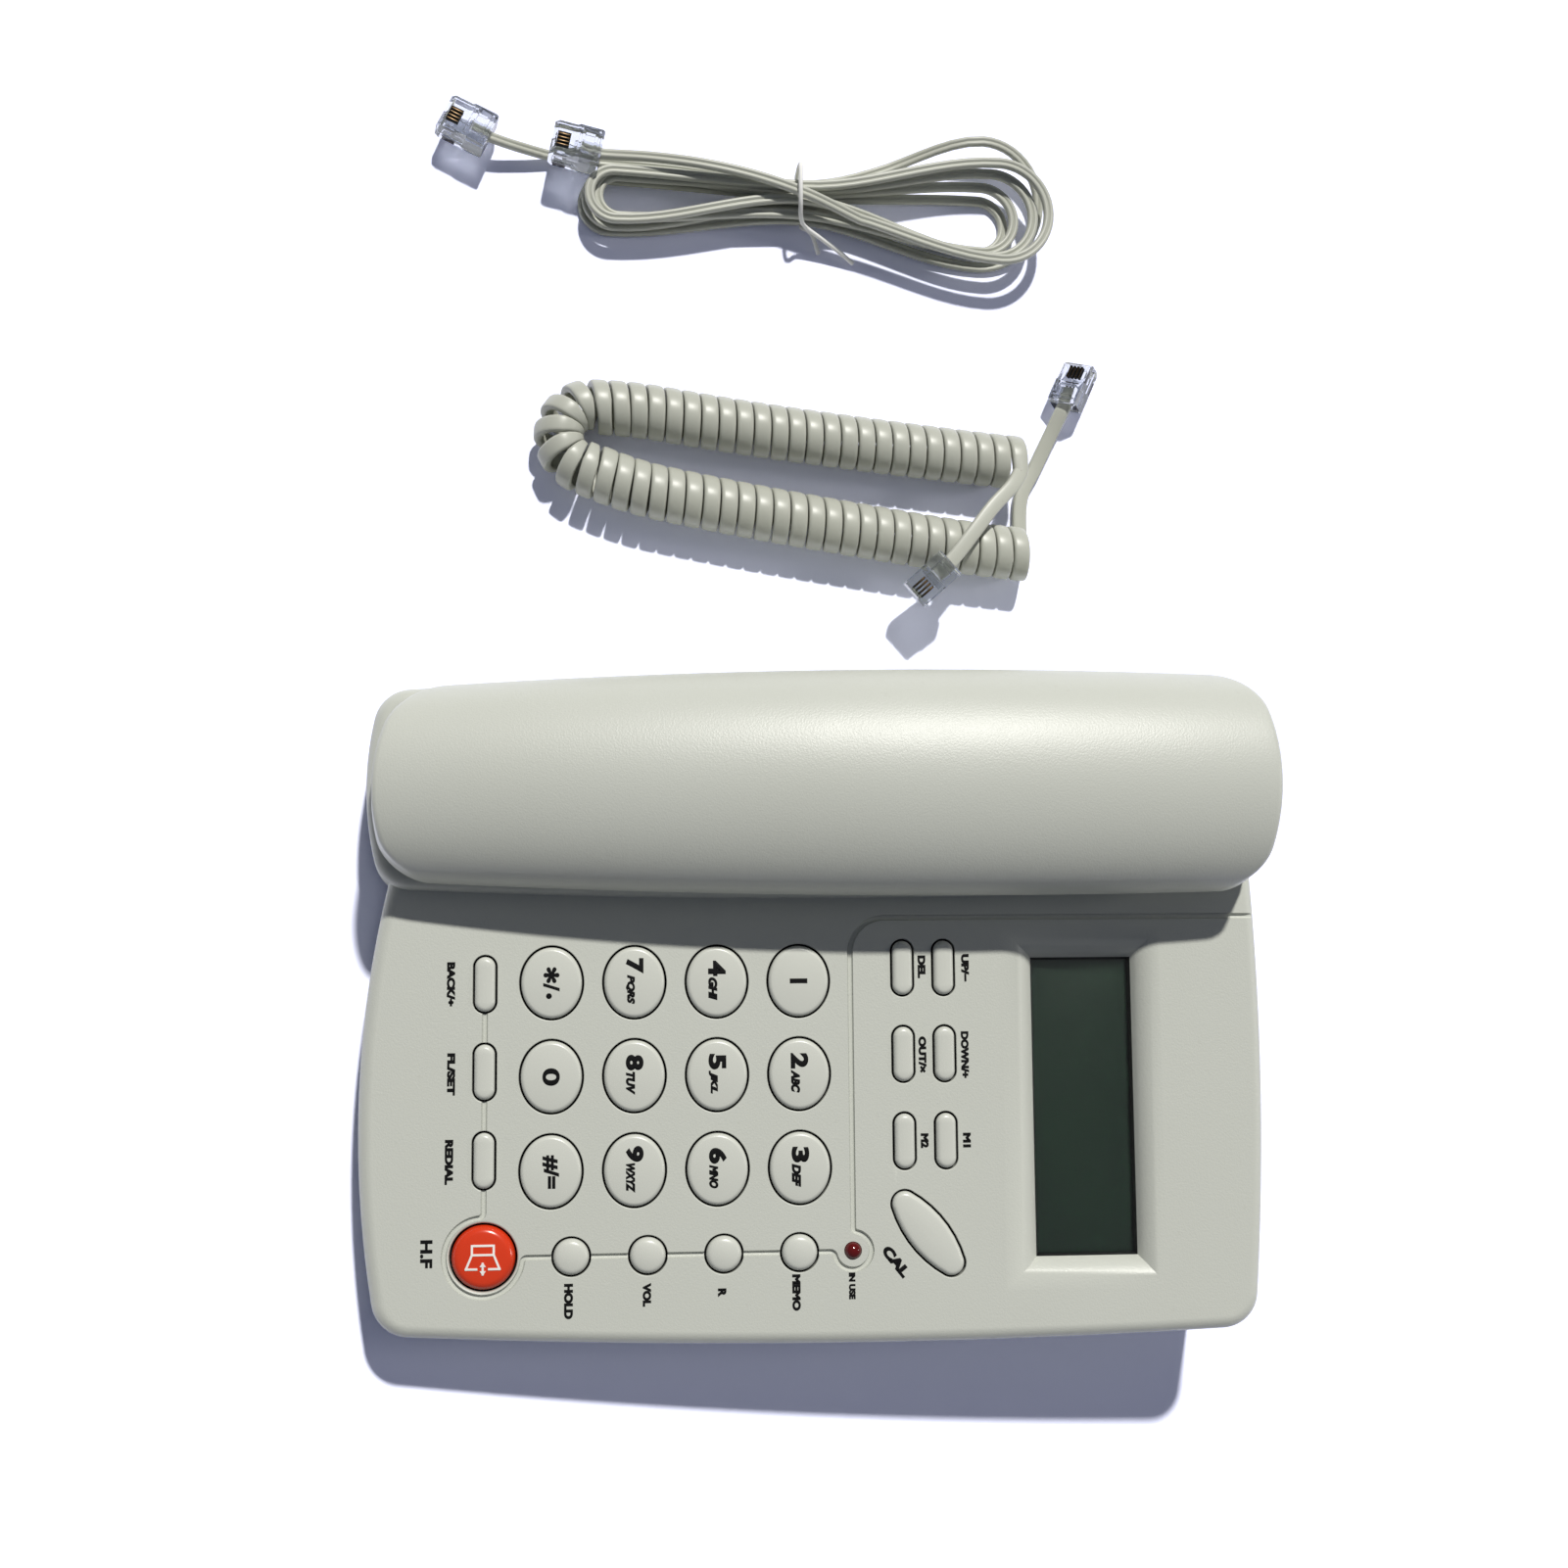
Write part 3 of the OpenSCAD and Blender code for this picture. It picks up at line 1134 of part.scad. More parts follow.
module handset_cord_coil() color(cord_colour) skin(curl_rings_all);
module handset_cord_near_lead() color(cord_colour)
    flat_lead(near_lead, ribbon_w, ribbon_t, near_plug[3], -curl_first, nose(near_plug));
module handset_cord_far_lead() color(cord_colour)
    flat_lead(far_lead, ribbon_w, ribbon_t, far_plug[3], curl_last, nose(far_plug));
module handset_cord_plugs() color(clear_colour)
    for (g = [near_plug, far_plug]) plug_place(g)
        plug_body(cord_plug_w, cord_plug_len, ribbon_w, ribbon_t, 4);
module line_cord_hank() color(cord_colour) skin(hank_rings_all);
module line_cord_outer_lead() color(cord_colour)
    flat_lead(outer_lead, line_w, line_t, outer_plug[3], -hank_first_dir, nose(outer_plug));
module line_cord_inner_lead() color(cord_colour)
    flat_lead(inner_lead, line_w, line_t, inner_plug[3], hank_last_dir, nose(inner_plug));
module line_cord_plugs() color(clear_colour)
    for (g = [outer_plug, inner_plug]) plug_place(g)
        plug_body(line_plug_w, plug_len, line_w, line_t, 4);
module cord_plug_contacts() color(metal_colour) {
    for (g = [near_plug, far_plug]) plug_place(g) plug_contacts(cord_plug_len, 4);
    for (g = [outer_plug, inner_plug]) plug_place(g) plug_contacts(plug_len, 4);
}
module line_cord_tie() color([0.95, 0.95, 0.95]) skin(tie_rings);

upper_housing();
lower_housing();
display_window();
display_module();
main_board();
keypad_mat();
in_use_lamp();
loudspeaker();
handsfree_microphone();
line_jack();
base_handset_jack();
housing_screws();
rubber_feet();
battery_cells();
hook_switch();
battery_door();
hook_plunger();
handset_top_shell();
handset_bottom_shell();
handset_receiver();
handset_microphone();
handset_jack();
handset_screws();
for (k = key_list) key_node(k[0]);
handset_cord_coil();
handset_cord_near_lead();
handset_cord_far_lead();
handset_cord_plugs();
line_cord_hank();
line_cord_outer_lead();
line_cord_inner_lead();
line_cord_plugs();
cord_plug_contacts();
line_cord_tie();
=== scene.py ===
from math import atan2, copysign, cos, pi, radians, sin, sqrt, tan, tau
import bmesh
import bpy
from mathutils import Matrix, Vector


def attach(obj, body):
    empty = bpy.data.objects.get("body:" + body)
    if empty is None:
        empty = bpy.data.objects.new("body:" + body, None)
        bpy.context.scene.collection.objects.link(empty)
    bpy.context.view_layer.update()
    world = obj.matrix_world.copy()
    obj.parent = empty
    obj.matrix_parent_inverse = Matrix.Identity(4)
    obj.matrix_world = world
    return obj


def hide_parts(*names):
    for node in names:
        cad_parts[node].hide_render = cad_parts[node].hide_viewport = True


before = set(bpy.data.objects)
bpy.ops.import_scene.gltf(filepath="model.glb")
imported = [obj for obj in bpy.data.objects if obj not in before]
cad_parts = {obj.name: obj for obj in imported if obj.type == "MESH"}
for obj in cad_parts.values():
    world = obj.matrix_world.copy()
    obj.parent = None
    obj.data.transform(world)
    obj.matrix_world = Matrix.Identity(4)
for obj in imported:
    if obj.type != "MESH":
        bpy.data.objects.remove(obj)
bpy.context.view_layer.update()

mm = 0.001
slope = radians(6)
deckPlace = Matrix.Translation((0, 0, 0.03)) @ Matrix.Rotation(slope, 4, "X")  # lays a flat deck in place

viewpoint = {
    "place": (-0.0027, -0.0908, 0.4707),
    "right": (0.0088, 0.9829, 0.1839),
    "down": (0.9943, 0.0110, -0.1063),
    "lens": 44.97,  # on a square frame 36 mm wide
}

light = {
    "key": {"towards": (0.75, -0.115, -1), "strength": 3.3, "softness": 2.6, "colour": (1, 0.985, 0.935)},
    "side": {"towards": (0.06, -1, -0.53), "strength": 0.3, "softness": 10, "colour": (1, 0.98, 0.95)},
    "sky": (0.08, 0.088, 0.118),
    "skyMirrored": (0.2, 0.21, 0.22),  # what polished parts mirror of the room
    "floor": (0.93, 0.93, 0.93),
    "floorSeen": (1.16, 1.19, 1.46),  # what the camera and reflections see of the floor
    "floorSize": 8,
}


def addObject(name, data):
    piece = bpy.data.objects.new(name, data)
    bpy.context.collection.objects.link(piece)
    return piece


def addCamera():
    right = Vector(viewpoint["right"]).normalized()
    down = Vector(viewpoint["down"])
    up = -(down - right * down.dot(right)).normalized()
    lens = bpy.data.cameras.new("camera")
    lens.lens = viewpoint["lens"]
    lens.sensor_width = 36
    lens.sensor_fit = "HORIZONTAL"
    lens.clip_start = 0.01
    camera = addObject("camera", lens)
    turn = Matrix((right, up, right.cross(up))).transposed().to_4x4()
    camera.matrix_world = Matrix.Translation(viewpoint["place"]) @ turn
    bpy.context.scene.camera = camera


def addLamp(name, towards, strength, softness, colour):
    sun = bpy.data.lights.new(name, "SUN")
    sun.energy = strength
    sun.angle = radians(softness)
    sun.color = colour
    addObject(name, sun).rotation_euler = Vector(towards).to_track_quat("-Z", "Y").to_euler()


def feed(tree, socket, source):  # a link or a fixed value
    if isinstance(source, bpy.types.NodeSocket):
        tree.links.new(source, socket)
    else:
        socket.default_value = (*source, 1) if isinstance(source, tuple) else source


def addMath(tree, operation, *sources):
    node = tree.nodes.new("ShaderNodeMath")
    node.operation = operation
    for socket, source in zip(node.inputs, sources):
        feed(tree, socket, source)
    return node.outputs[0]


def addMix(tree, mask, first, second, kind="MIX"):
    node = tree.nodes.new("ShaderNodeMix")
    node.data_type = "RGBA"
    node.blend_type = kind
    for index, source in ((0, mask), (6, first), (7, second)):
        feed(tree, node.inputs[index], source)
    return node.outputs[2]


def addTexture(tree, kind, place, **settings):
    node = tree.nodes.new("ShaderNodeTex" + kind)
    feed(tree, node.inputs["Vector"], place)
    for label, source in settings.items():
        feed(tree, node.inputs[label.capitalize()], source)
    return node.outputs


def addRange(tree, value, low, high, toLow, toHigh):
    node = tree.nodes.new("ShaderNodeMapRange")
    for label, source in zip(("Value", "From Min", "From Max", "To Min", "To Max"),
            (value, low, high, toLow, toHigh)):
        feed(tree, node.inputs[label], source)
    return node.outputs[0]


def seenMask(tree):  # 1 for what the camera sees directly, in a gloss or through a clear part
    rays = tree.nodes.new("ShaderNodeLightPath").outputs
    seen = addMath(tree, "MAXIMUM", rays["Is Camera Ray"], rays["Is Glossy Ray"])
    return addMath(tree, "MAXIMUM", seen, rays["Is Transmission Ray"])


def addSurroundings():
    world = bpy.data.worlds.new("studio")
    world.use_nodes = True
    bpy.context.scene.world = world
    tree = world.node_tree
    colour = addMix(tree, seenMask(tree), light["sky"], (1, 1, 1))
    glossy = tree.nodes.new("ShaderNodeLightPath").outputs["Is Glossy Ray"]
    feed(tree, tree.nodes["Background"].inputs["Color"], addMix(tree, glossy, colour, light["skyMirrored"]))
    for name in ("key", "side"):
        addLamp(name + "Lamp", **light[name])
    bpy.ops.mesh.primitive_plane_add(size=light["floorSize"])
    floor = bpy.context.object
    floor.name = "floor"
    paint = bpy.data.materials.new("floorPaint")
    paint.use_nodes = True
    tree = paint.node_tree
    shader = tree.nodes["Principled BSDF"].inputs
    feed(tree, shader["Roughness"], 1)
    feed(tree, shader["Specular IOR Level"], 0)
    feed(tree, shader["Base Color"], addMix(tree, seenMask(tree), light["floor"], light["floorSeen"]))
    floor.data.materials.append(paint)
    bpy.context.scene.view_settings.view_transform = "Standard"


addCamera()
addSurroundings()
print("camera, lamps and floor are in place")


def newGroup(name, takes, gives):
    group = bpy.data.node_groups.new(name, "ShaderNodeTree")
    for label, kind, value in takes:
        socket = group.interface.new_socket(name=label, in_out="INPUT", socket_type="NodeSocket" + kind)
        socket.default_value = value
    for label, kind in gives:
        group.interface.new_socket(name=label, in_out="OUTPUT", socket_type="NodeSocket" + kind)
    return group, group.nodes.new("NodeGroupInput").outputs, group.nodes.new("NodeGroupOutput").inputs


ageing = {
    "cloudScale": 22, "yellowed": (0.62, 0.6, 0.5), "fleckScale": 160, "fleckSize": 0.05, "fleckFade": 0.09,
    "fleck": (0.28, 0.25, 0.2), "smearScale": 90,
}


def makeGrainGroup():  # fine spark-eroded texture of moulded plastic: a height and a roughness
    group, takes, gives = newGroup(
        "mouldGrain", [("Size", "Float", 0.0005), ("Roughness", "Float", 0.45), ("Spread", "Float", 0.06)],
        [("Height", "Float"), ("Roughness", "Float")])
    place = group.nodes.new("ShaderNodeTexCoord").outputs["Object"]
    perMetre = addMath(group, "DIVIDE", 1, takes["Size"])
    fine = addTexture(group, "Noise", place, scale=perMetre, detail=3, roughness=0.6)
    cloud = addTexture(group, "Noise", place, scale=ageing["smearScale"], detail=4)
    centred = addMath(group, "SUBTRACT", cloud["Fac"], 0.5)
    feed(group, gives["Height"], fine["Fac"])
    feed(group, gives["Roughness"],
        addMath(group, "MULTIPLY_ADD", centred, takes["Spread"], takes["Roughness"]))
    return group


def makeTintGroup():  # slow drift of colour over a moulding, with a few faint flecks
    group, takes, gives = newGroup(
        "agedTint", [("Colour", "Color", (1, 1, 1, 1)), ("Drift", "Float", 0.06), ("Flecks", "Float", 0.1)],
        [("Colour", "Color")])
    place = group.nodes.new("ShaderNodeTexCoord").outputs["Object"]
    cloud = addTexture(group, "Noise", place, scale=ageing["cloudScale"], detail=5)
    drift = addRange(group, cloud["Fac"], 0.3, 0.7, 0, takes["Drift"])
    aged = addMix(group, drift, takes["Colour"], ageing["yellowed"], "MULTIPLY")
    speck = addTexture(group, "Voronoi", place, scale=ageing["fleckScale"])
    near = addRange(group, speck["Distance"], ageing["fleckSize"], ageing["fleckFade"], takes["Flecks"], 0)
    feed(group, gives["Colour"], addMix(group, near, aged, ageing["fleck"]))
    return group


grainGroup = makeGrainGroup()
tintGroup = makeTintGroup()


def addGroup(tree, group, **settings):
    node = tree.nodes.new("ShaderNodeGroup")
    node.node_tree = group
    for label, source in settings.items():
        feed(tree, node.inputs[label.capitalize()], source)
    return node.outputs


def makeMaterial(name, colour, roughness, drift=0.05, flecks=0.0, grain=0.0005, depth=0.00002, spread=0.06,
        sockets=()):
    material = bpy.data.materials.new(name)
    material.use_nodes = True
    tree = material.node_tree
    tint = addGroup(tree, tintGroup, colour=colour, drift=drift, flecks=flecks)
    skin = addGroup(tree, grainGroup, size=grain, roughness=roughness, spread=spread)
    bump = tree.nodes.new("ShaderNodeBump")
    feed(tree, bump.inputs["Distance"], depth)
    feed(tree, bump.inputs["Height"], skin["Height"])
    made = [("Base Color", tint["Colour"]), ("Roughness", skin["Roughness"]), ("Normal", bump.outputs[0])]
    for label, source in [*sockets, *made]:
        feed(tree, tree.nodes["Principled BSDF"].inputs[label], source)
    return material


finish = {
    "housing": makeMaterial("housingPlastic", (0.572, 0.587, 0.534), 0.38, flecks=0.05, grain=0.00045,
        depth=0.000056),
    "key": makeMaterial("keyPlastic", (0.608, 0.62, 0.566), 0.3, drift=0.04, grain=0.0004, depth=0.000012),
    # painted shade: a near-black put on key flanges and plug slot walls, where only shade falls
    "keyGap": makeMaterial("keyGapShade", (0.006, 0.006, 0.006), 0.8, grain=0.0004, depth=0.00001,
        sockets=[("Specular IOR Level", 0.1)]),
    "redKey": makeMaterial("redKeyPlastic", (0.68, 0.042, 0.008), 0.22, drift=0.03, grain=0.0004,
        depth=0.000004, sockets=[("Coat Weight", 0.3)]),
    "ink": makeMaterial("blackInk", (0.003, 0.003, 0.0035), 0.6, grain=0.0002, depth=0.000003,
        sockets=[("Specular IOR Level", 0.12)]),
    "whiteInk": makeMaterial("whiteInk", (0.88, 0.86, 0.82), 0.5, grain=0.0002, depth=0.000003),
    "window": makeMaterial("windowPlastic", (0.92, 0.97, 0.94), 0.04, drift=0, spread=0.02, grain=0.002,
        depth=0.0000015, sockets=[("Transmission Weight", 1.0), ("IOR", 1.49)]),
    "display": makeMaterial("liquidCrystal", (0.007, 0.03, 0.013), 0.3, drift=0.3, grain=0.0015,
        depth=0.000002),
    # near-black: the display module's own frame, and painted shade on the window's lip
    "displayEdge": makeMaterial("displayFrameAndShade", (0.008, 0.009, 0.009), 0.4, grain=0.0004, depth=0.000005),
    "lamp": makeMaterial("lampPlastic", (0.16, 0.003, 0.004), 0.12, drift=0.1, grain=0.0006,
        depth=0.000004, sockets=[("Transmission Weight", 0.35), ("IOR", 1.49)]),
    "steel": makeMaterial("screwSteel", (0.6, 0.6, 0.61), 0.3, drift=0.15, grain=0.0003, depth=0.00001,
        sockets=[("Metallic", 1.0)]),
    "rubber": makeMaterial("footRubber", (0.03, 0.03, 0.03), 0.8, depth=0.00004),
    "black": makeMaterial("blackPlastic", (0.02, 0.02, 0.021), 0.45),
    "board": makeMaterial("boardLacquer", (0.03, 0.2, 0.07), 0.3, drift=0.2, grain=0.001),
    "cell": makeMaterial("cellSleeve", (0.1, 0.2, 0.45), 0.3, drift=0.1, grain=0.001, depth=0.00001,
        sockets=[("Metallic", 0.4)]),
    "brass": makeMaterial("contactBrass", (0.13, 0.085, 0.047), 0.34, drift=0.2, grain=0.0003, depth=0.000005,
        sockets=[("Metallic", 1.0)]),
    "clear": makeMaterial("clearPlugPlastic", (0.82, 0.84, 0.86), 0.05, drift=0.03, spread=0.03, grain=0.0014,
        depth=0.000003, sockets=[("Transmission Weight", 1.0), ("IOR", 1.5)]),
    "tie": makeMaterial("tiePlastic", (0.86, 0.86, 0.84), 0.5, grain=0.0003, depth=0.00001),
    "cord": makeMaterial("cordJacket", (0.49, 0.5, 0.44), 0.38, drift=0.1, flecks=0.08, grain=0.0006,
        depth=0.000014),
}


def clearSelection():
    if bpy.context.object and bpy.context.object.mode != "OBJECT":
        bpy.ops.object.mode_set(mode="OBJECT")
    bpy.ops.object.select_all(action="DESELECT")


def pick(piece):
    clearSelection()
    piece.select_set(True)
    bpy.context.view_layer.objects.active = piece


def editAll(piece):
    pick(piece)
    bpy.ops.object.mode_set(mode="EDIT")
    bpy.ops.mesh.select_all(action="SELECT")


def backToObject():
    bpy.ops.object.mode_set(mode="OBJECT")


def applyModifier(piece, kind, **settings):
    pick(piece)
    modifier = piece.modifiers.new(kind.lower(), kind)
    for label, value in settings.items():
        setattr(modifier, label, value)
    bpy.ops.object.modifier_apply(modifier=modifier.name)


def faceOutwards(piece):
    editAll(piece)
    bpy.ops.mesh.normals_make_consistent(inside=False)
    backToObject()


def stackRings(name, rings):  # a flat face with the first ring's outline, extruded through the others
    clearSelection()
    bpy.ops.mesh.primitive_circle_add(vertices=len(rings[0]), radius=1, fill_type="NGON")
    piece = bpy.context.object
    piece.name = name
    for vertex, place in zip(piece.data.vertices, rings[0]):
        vertex.co = Vector(place) * mm
    editAll(piece)
    for ring in rings[1:]:
        bpy.ops.mesh.extrude_region_move()
        form = bmesh.from_edit_mesh(piece.data)
        for vertex, place in zip([v for v in form.verts if v.select], ring):
            vertex.co = Vector(place) * mm
        bmesh.update_edit_mesh(piece.data)
    faceOutwards(piece)
    return piece


def flatRing(points, z):
    return [(x, y, z) for x, y in points]


def quarterArc(steps):  # shares in and down of a rounded edge, from its foot to its top
    turns = [pi / 2 * k / steps for k in range(steps + 1)]
    return [(1 - cos(a), 1 - sin(a)) for a in turns]


def prism(name, ring, low, high):
    return stackRings(name, [flatRing(ring, low), flatRing(ring, high)])


def boxBlock(name, low, high):
    (x0, y0, z0), (x1, y1, z1) = low, high
    return prism(name, [(x1, y1), (x0, y1), (x0, y0), (x1, y0)], z0, z1)


def selectWhere(piece, elements, test):  # leaves the piece in edit mode
    editAll(piece)
    bpy.ops.mesh.select_all(action="DESELECT")
    form = bmesh.from_edit_mesh(piece.data)
    for element in getattr(form, elements):
        element.select = test(element)
    bmesh.update_edit_mesh(piece.data)


def combine(piece, tool, operation="DIFFERENCE"):
    applyModifier(piece, "BOOLEAN", operation=operation, object=tool, solver="MANIFOLD")
    bpy.data.objects.remove(tool)


def joinPieces(name, pieces):
    pick(pieces[0])
    for piece in pieces:
        piece.select_set(True)
    bpy.ops.object.join()
    pieces[0].name = name
    return pieces[0]


def mergeClose(piece, distance=0.002):
    editAll(piece)
    bpy.ops.mesh.remove_doubles(threshold=distance * mm)
    backToObject()


def shade(piece, angle=32, weighted=True):
    pick(piece)
    bpy.ops.object.shade_smooth_by_angle(angle=radians(angle))
    if weighted:
        applyModifier(piece, "WEIGHTED_NORMAL", keep_sharp=True, weight=90)


def ontoDeck(piece):
    piece.data.transform(deckPlace)
    piece.data.update()


def paintTwo(piece, first, second, where):  # the second material goes on the faces that where picks
    piece.data.materials.clear()
    for name in (first, second):
        piece.data.materials.append(finish[name])
    for face in piece.data.polygons:
        face.material_index = int(where(face))


def dress(piece, material, slot, body, *nodes):
    if not any(piece.data.materials):
        piece.data.materials.clear()
        piece.data.materials.append(finish[material])
    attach(piece, body)
    if nodes:
        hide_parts(*nodes)
    return piece


worksCopy = {"merge": 0.003, "flatAngle": 0.6, "sharpAngle": 50, "segments": 2}  # millimetres and degrees


def copyWorks(node, name, edge, cutters=()):  # a merged copy of a works part, with its edges eased
    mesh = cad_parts[node].data.copy()
    mesh.materials.clear()
    piece = addObject(name, mesh)
    editAll(piece)
    bpy.ops.mesh.remove_doubles(threshold=worksCopy["merge"] * mm)
    bpy.ops.mesh.dissolve_limited(angle_limit=radians(worksCopy["flatAngle"]))
    backToObject()
    for cutter in cutters:
        combine(piece, cutter)
    applyModifier(piece, "BEVEL", width=edge * mm, segments=worksCopy["segments"], limit_method="ANGLE",
        angle_limit=radians(worksCopy["sharpAngle"]), use_clamp_overlap=True)
    shade(piece)
    return piece


def unit(v):
    return v.normalized()


def blend(a, b, f):
    return a + (b - a) * f


def smooth(f):
    g = min(max(f, 0), 1)
    return g * g * (3 - 2 * g)


def turned(x, y, degrees):
    c, s = cos(radians(degrees)), sin(radians(degrees))
    return x * c - y * s, x * s + y * c


def headings(points):  # unit directions along a row of points
    return [unit(after - before) for before, after in zip(points[:1] + points, points[1:] + points[-1:])]


def throughPoints(route, steps):  # one smooth curve through a route
    points = []
    last = len(route) - 1
    for i in range(last):
        b, c = route[i], route[i + 1]
        a = route[i - 1] if i > 0 else 2 * route[0] - route[1]
        d = route[i + 2] if i < last - 1 else 2 * route[last] - route[last - 1]
        for k in range(steps):
            f = k / steps
            points.append(0.5 * (2 * b + (c - a) * f + (2 * a - 5 * b + 4 * c - d) * f * f
                + (3 * b - a - 3 * c + d) * f * f * f))
    return points + [route[last]]


def levelAcross(d):
    return unit(Vector((-d.y, d.x, 0)))


def leadStations(route, width, thickness, roll, first, last, steps=8):
    points = throughPoints([Vector(p) for p in route], steps)
    stations = []
    for i, (point, d) in enumerate(zip(points, [first, *headings(points)[1:-1], last])):
        turn = radians(roll * smooth((i / (len(points) - 1) - 0.5) / 0.4))  # all in the last half
        side = levelAcross(d)
        across = side * cos(turn) + d.cross(side) * sin(turn)
        stations.append((point, d, across, width, thickness))
    return stations


def sweepCord(name, stations, section):  # a closed tube through a row of oriented rings
    vertices = []
    last = None
    for point, d, across, width, thickness in stations:
        s = unit(across - d * across.dot(d))
        if last and s.dot(last) < 0:
            s = -s
        last = s
        u = d.cross(s)
        vertices += [point + s * a * width / 2 + u * b * thickness / 2 for a, b in section]
    n = len(section)
    faces = [(j * n + i, j * n + (i + 1) % n, (j + 1) * n + (i + 1) % n, (j + 1) * n + i)
        for j in range(len(stations) - 1) for i in range(n)]
    faces += [tuple(reversed(range(n))), tuple(range(len(vertices) - n, len(vertices)))]
    mesh = bpy.data.meshes.new(name)
    mesh.from_pydata(vertices, [], faces)
    piece = addObject(name, mesh)
    faceOutwards(piece)
    shade(piece, 50, weighted=False)
    return piece


def pathLength(points):
    return sum((b - a).length for a, b in zip(points, points[1:]))


def roundedSection(count, power):
    places = []
    for i in range(count):
        c, s = cos(2 * pi * i / count), sin(2 * pi * i / count)
        places.append((copysign(abs(c) ** (2 / power), c), copysign(abs(s) ** (2 / power), s)))
    return places


plugs = {  # rear middle, heading, dip of the nose and roll, in metres and degrees
    "near": ((-0.1073, 0.0367, 0.0149), -47.7, -8, 0),
    "far": ((-0.1512, 0.0704, 0.0054), 155.5, 0, -40),
    "outer": ((-0.2117, -0.0752, 0.0062), -114.2, 0, 12),
    "inner": ((-0.2083, -0.0483, 0.0087), -101.5, 0, 12),
    "pocket": 0.005,
}


def noseOf(plug):
    heading, dip = radians(plugs[plug][1]), radians(plugs[plug][2])
    return Vector((cos(heading) * cos(dip), sin(heading) * cos(dip), sin(dip)))


def rearOf(plug):
    return Vector(plugs[plug][0])


def leadTo(plug, start, route, direction, size):  # stations from the end of a winding into a plug
    ends = [rearOf(plug), rearOf(plug) + noseOf(plug) * plugs["pocket"]]
    return leadStations([start] + route + ends, *size, plugs[plug][3], direction, noseOf(plug))


curly = {
    "outerDiameter": 0.0134, "width": 0.0037, "thickness": 0.0022, "pitch": 0.00435,
    "shownWidth": 0.00032,  # how much wider the rounded ribbon is drawn than the works' hexagonal one
    "runs": [(13, -1.5), (7.5, -2), (4, 8.5), (5, 155), (5, 14), (7.5, 2), (7, 0.5), (6.5, 3.5)],
    "bendRun": 3, "bendRadius": 0.0076, "bendEase": 0.6, "start": (-0.1355, 0.056), "heading": -4,
    "gap": 0.0005, "squeeze": 0.0013, "ringsPerCurl": 24, "lift": 0.00005,
    "section": (20, 4.2),  # points, and how square
    "nearRoute": [(-0.1275, 0.0534, 0.0138), (-0.1215, 0.0478, 0.0148), (-0.1142, 0.0422, 0.0152)],
    "farRoute": [(-0.1275, 0.0594, 0.0015), (-0.1355, 0.0632, 0.0019), (-0.1435, 0.0669, 0.0032)],
}


def runEnd(place, heading, length, turn):
    k = radians(turn) / length
    h, e = radians(heading), radians(heading + turn)
    return (place[0] + (cos(h) - cos(e)) / k, place[1] - (sin(e) - sin(h)) / k)


def curlyRuns():  # the run of the curly cord's axis: arcs that follow each other
    runs = []
    count, place, heading = 0, curly["start"], curly["heading"]
    for i, (curls, turn) in enumerate(curly["runs"]):
        bent = i == curly["bendRun"]
        length = curly["bendRadius"] * radians(turn) if bent else curls * curly["pitch"]
        runs.append((count, place, heading, curls, turn, length))
        place = runEnd(place, heading, length, turn)
        heading += turn
        count += curls
    return runs, count


runs, curlCount = curlyRuns()


def curlyState(c):  # place and heading of the axis after so many curls
    count, place, heading, curls, turn, length = [r for r in runs if c >= r[0] or r[0] == 0][-1]
    f = (c - count) / curls
    if abs(f) < 1e-9:
        return place, heading
    return runEnd(place, heading, length * f, turn * f), heading + turn * f


def curlyPoint(c):
    place, heading = curlyState(c)
    start, stop = runs[curly["bendRun"]][0], runs[curly["bendRun"] + 1][0]
    side = -sin(tau * c)
    inner = max(side, 0) * smooth(min(c - start, stop - c) / curly["bendEase"] + 1)
    radius = (curly["outerDiameter"] - curly["thickness"]) / 2 - curly["squeeze"] * inner * inner
    h = radians(heading)
    middle = Vector((*place, curly["outerDiameter"] / 2 + curly["lift"]))
    return middle + radius * Vector((side * cos(h), side * sin(h), cos(tau * c)))


def curlyDirection(c):
    return unit(curlyPoint(c + 0.01) - curlyPoint(c - 0.01))


def curlyAcross(c):
    h = radians(curlyState(c)[1])
    return Vector((sin(h), -cos(h), 0))


def curlyWidth(c):  # no wider than the room between the turns before and after
    pairs = [(c, c + 1)] if c < curlCount - 1 else []
    pairs += [(c - 1, c)] if c > 1 else []
    rooms = [(curlyPoint(b) - curlyPoint(a)).length - curly["gap"] for a, b in pairs]
    return min([curly["width"], *rooms]) + curly["shownWidth"]


def flatDirection(d):
    return unit(Vector((d.x, d.y, 0)))


def makeCord(name, lead, winding, tail, section, *nodes):
    stations = [(p, -d, a, w, t) for p, d, a, w, t in reversed(lead)] + winding + tail
    piece = sweepCord(name, stations, section)
    dress(piece, "cord", "cord_jacket", "base", *nodes)
    return piece, [s[0] for s in stations]


def makeCurlyCord():
    size = wide, thick = curly["width"], curly["thickness"]
    first = flatDirection(curlyDirection(0.01))
    last = flatDirection(curlyDirection(curlCount - 0.01))
    near = leadTo("near", curlyPoint(0) - first * wide, curly["nearRoute"], -first, size)
    far = leadTo("far", curlyPoint(curlCount) + last * wide, curly["farRoute"], last, size)
    winding = []
    for j in range(int(curlCount * curly["ringsPerCurl"]) + 1):
        c = j / curly["ringsPerCurl"]
        d = curlyDirection(min(max(c, 0.01), curlCount - 0.01))
        winding.append((curlyPoint(c), d, curlyAcross(c), curlyWidth(c), thick))
    return makeCord("handsetCord", near, winding, far, roundedSection(*curly["section"]),
        "handset_cord_coil", "handset_cord_near_lead", "handset_cord_far_lead")


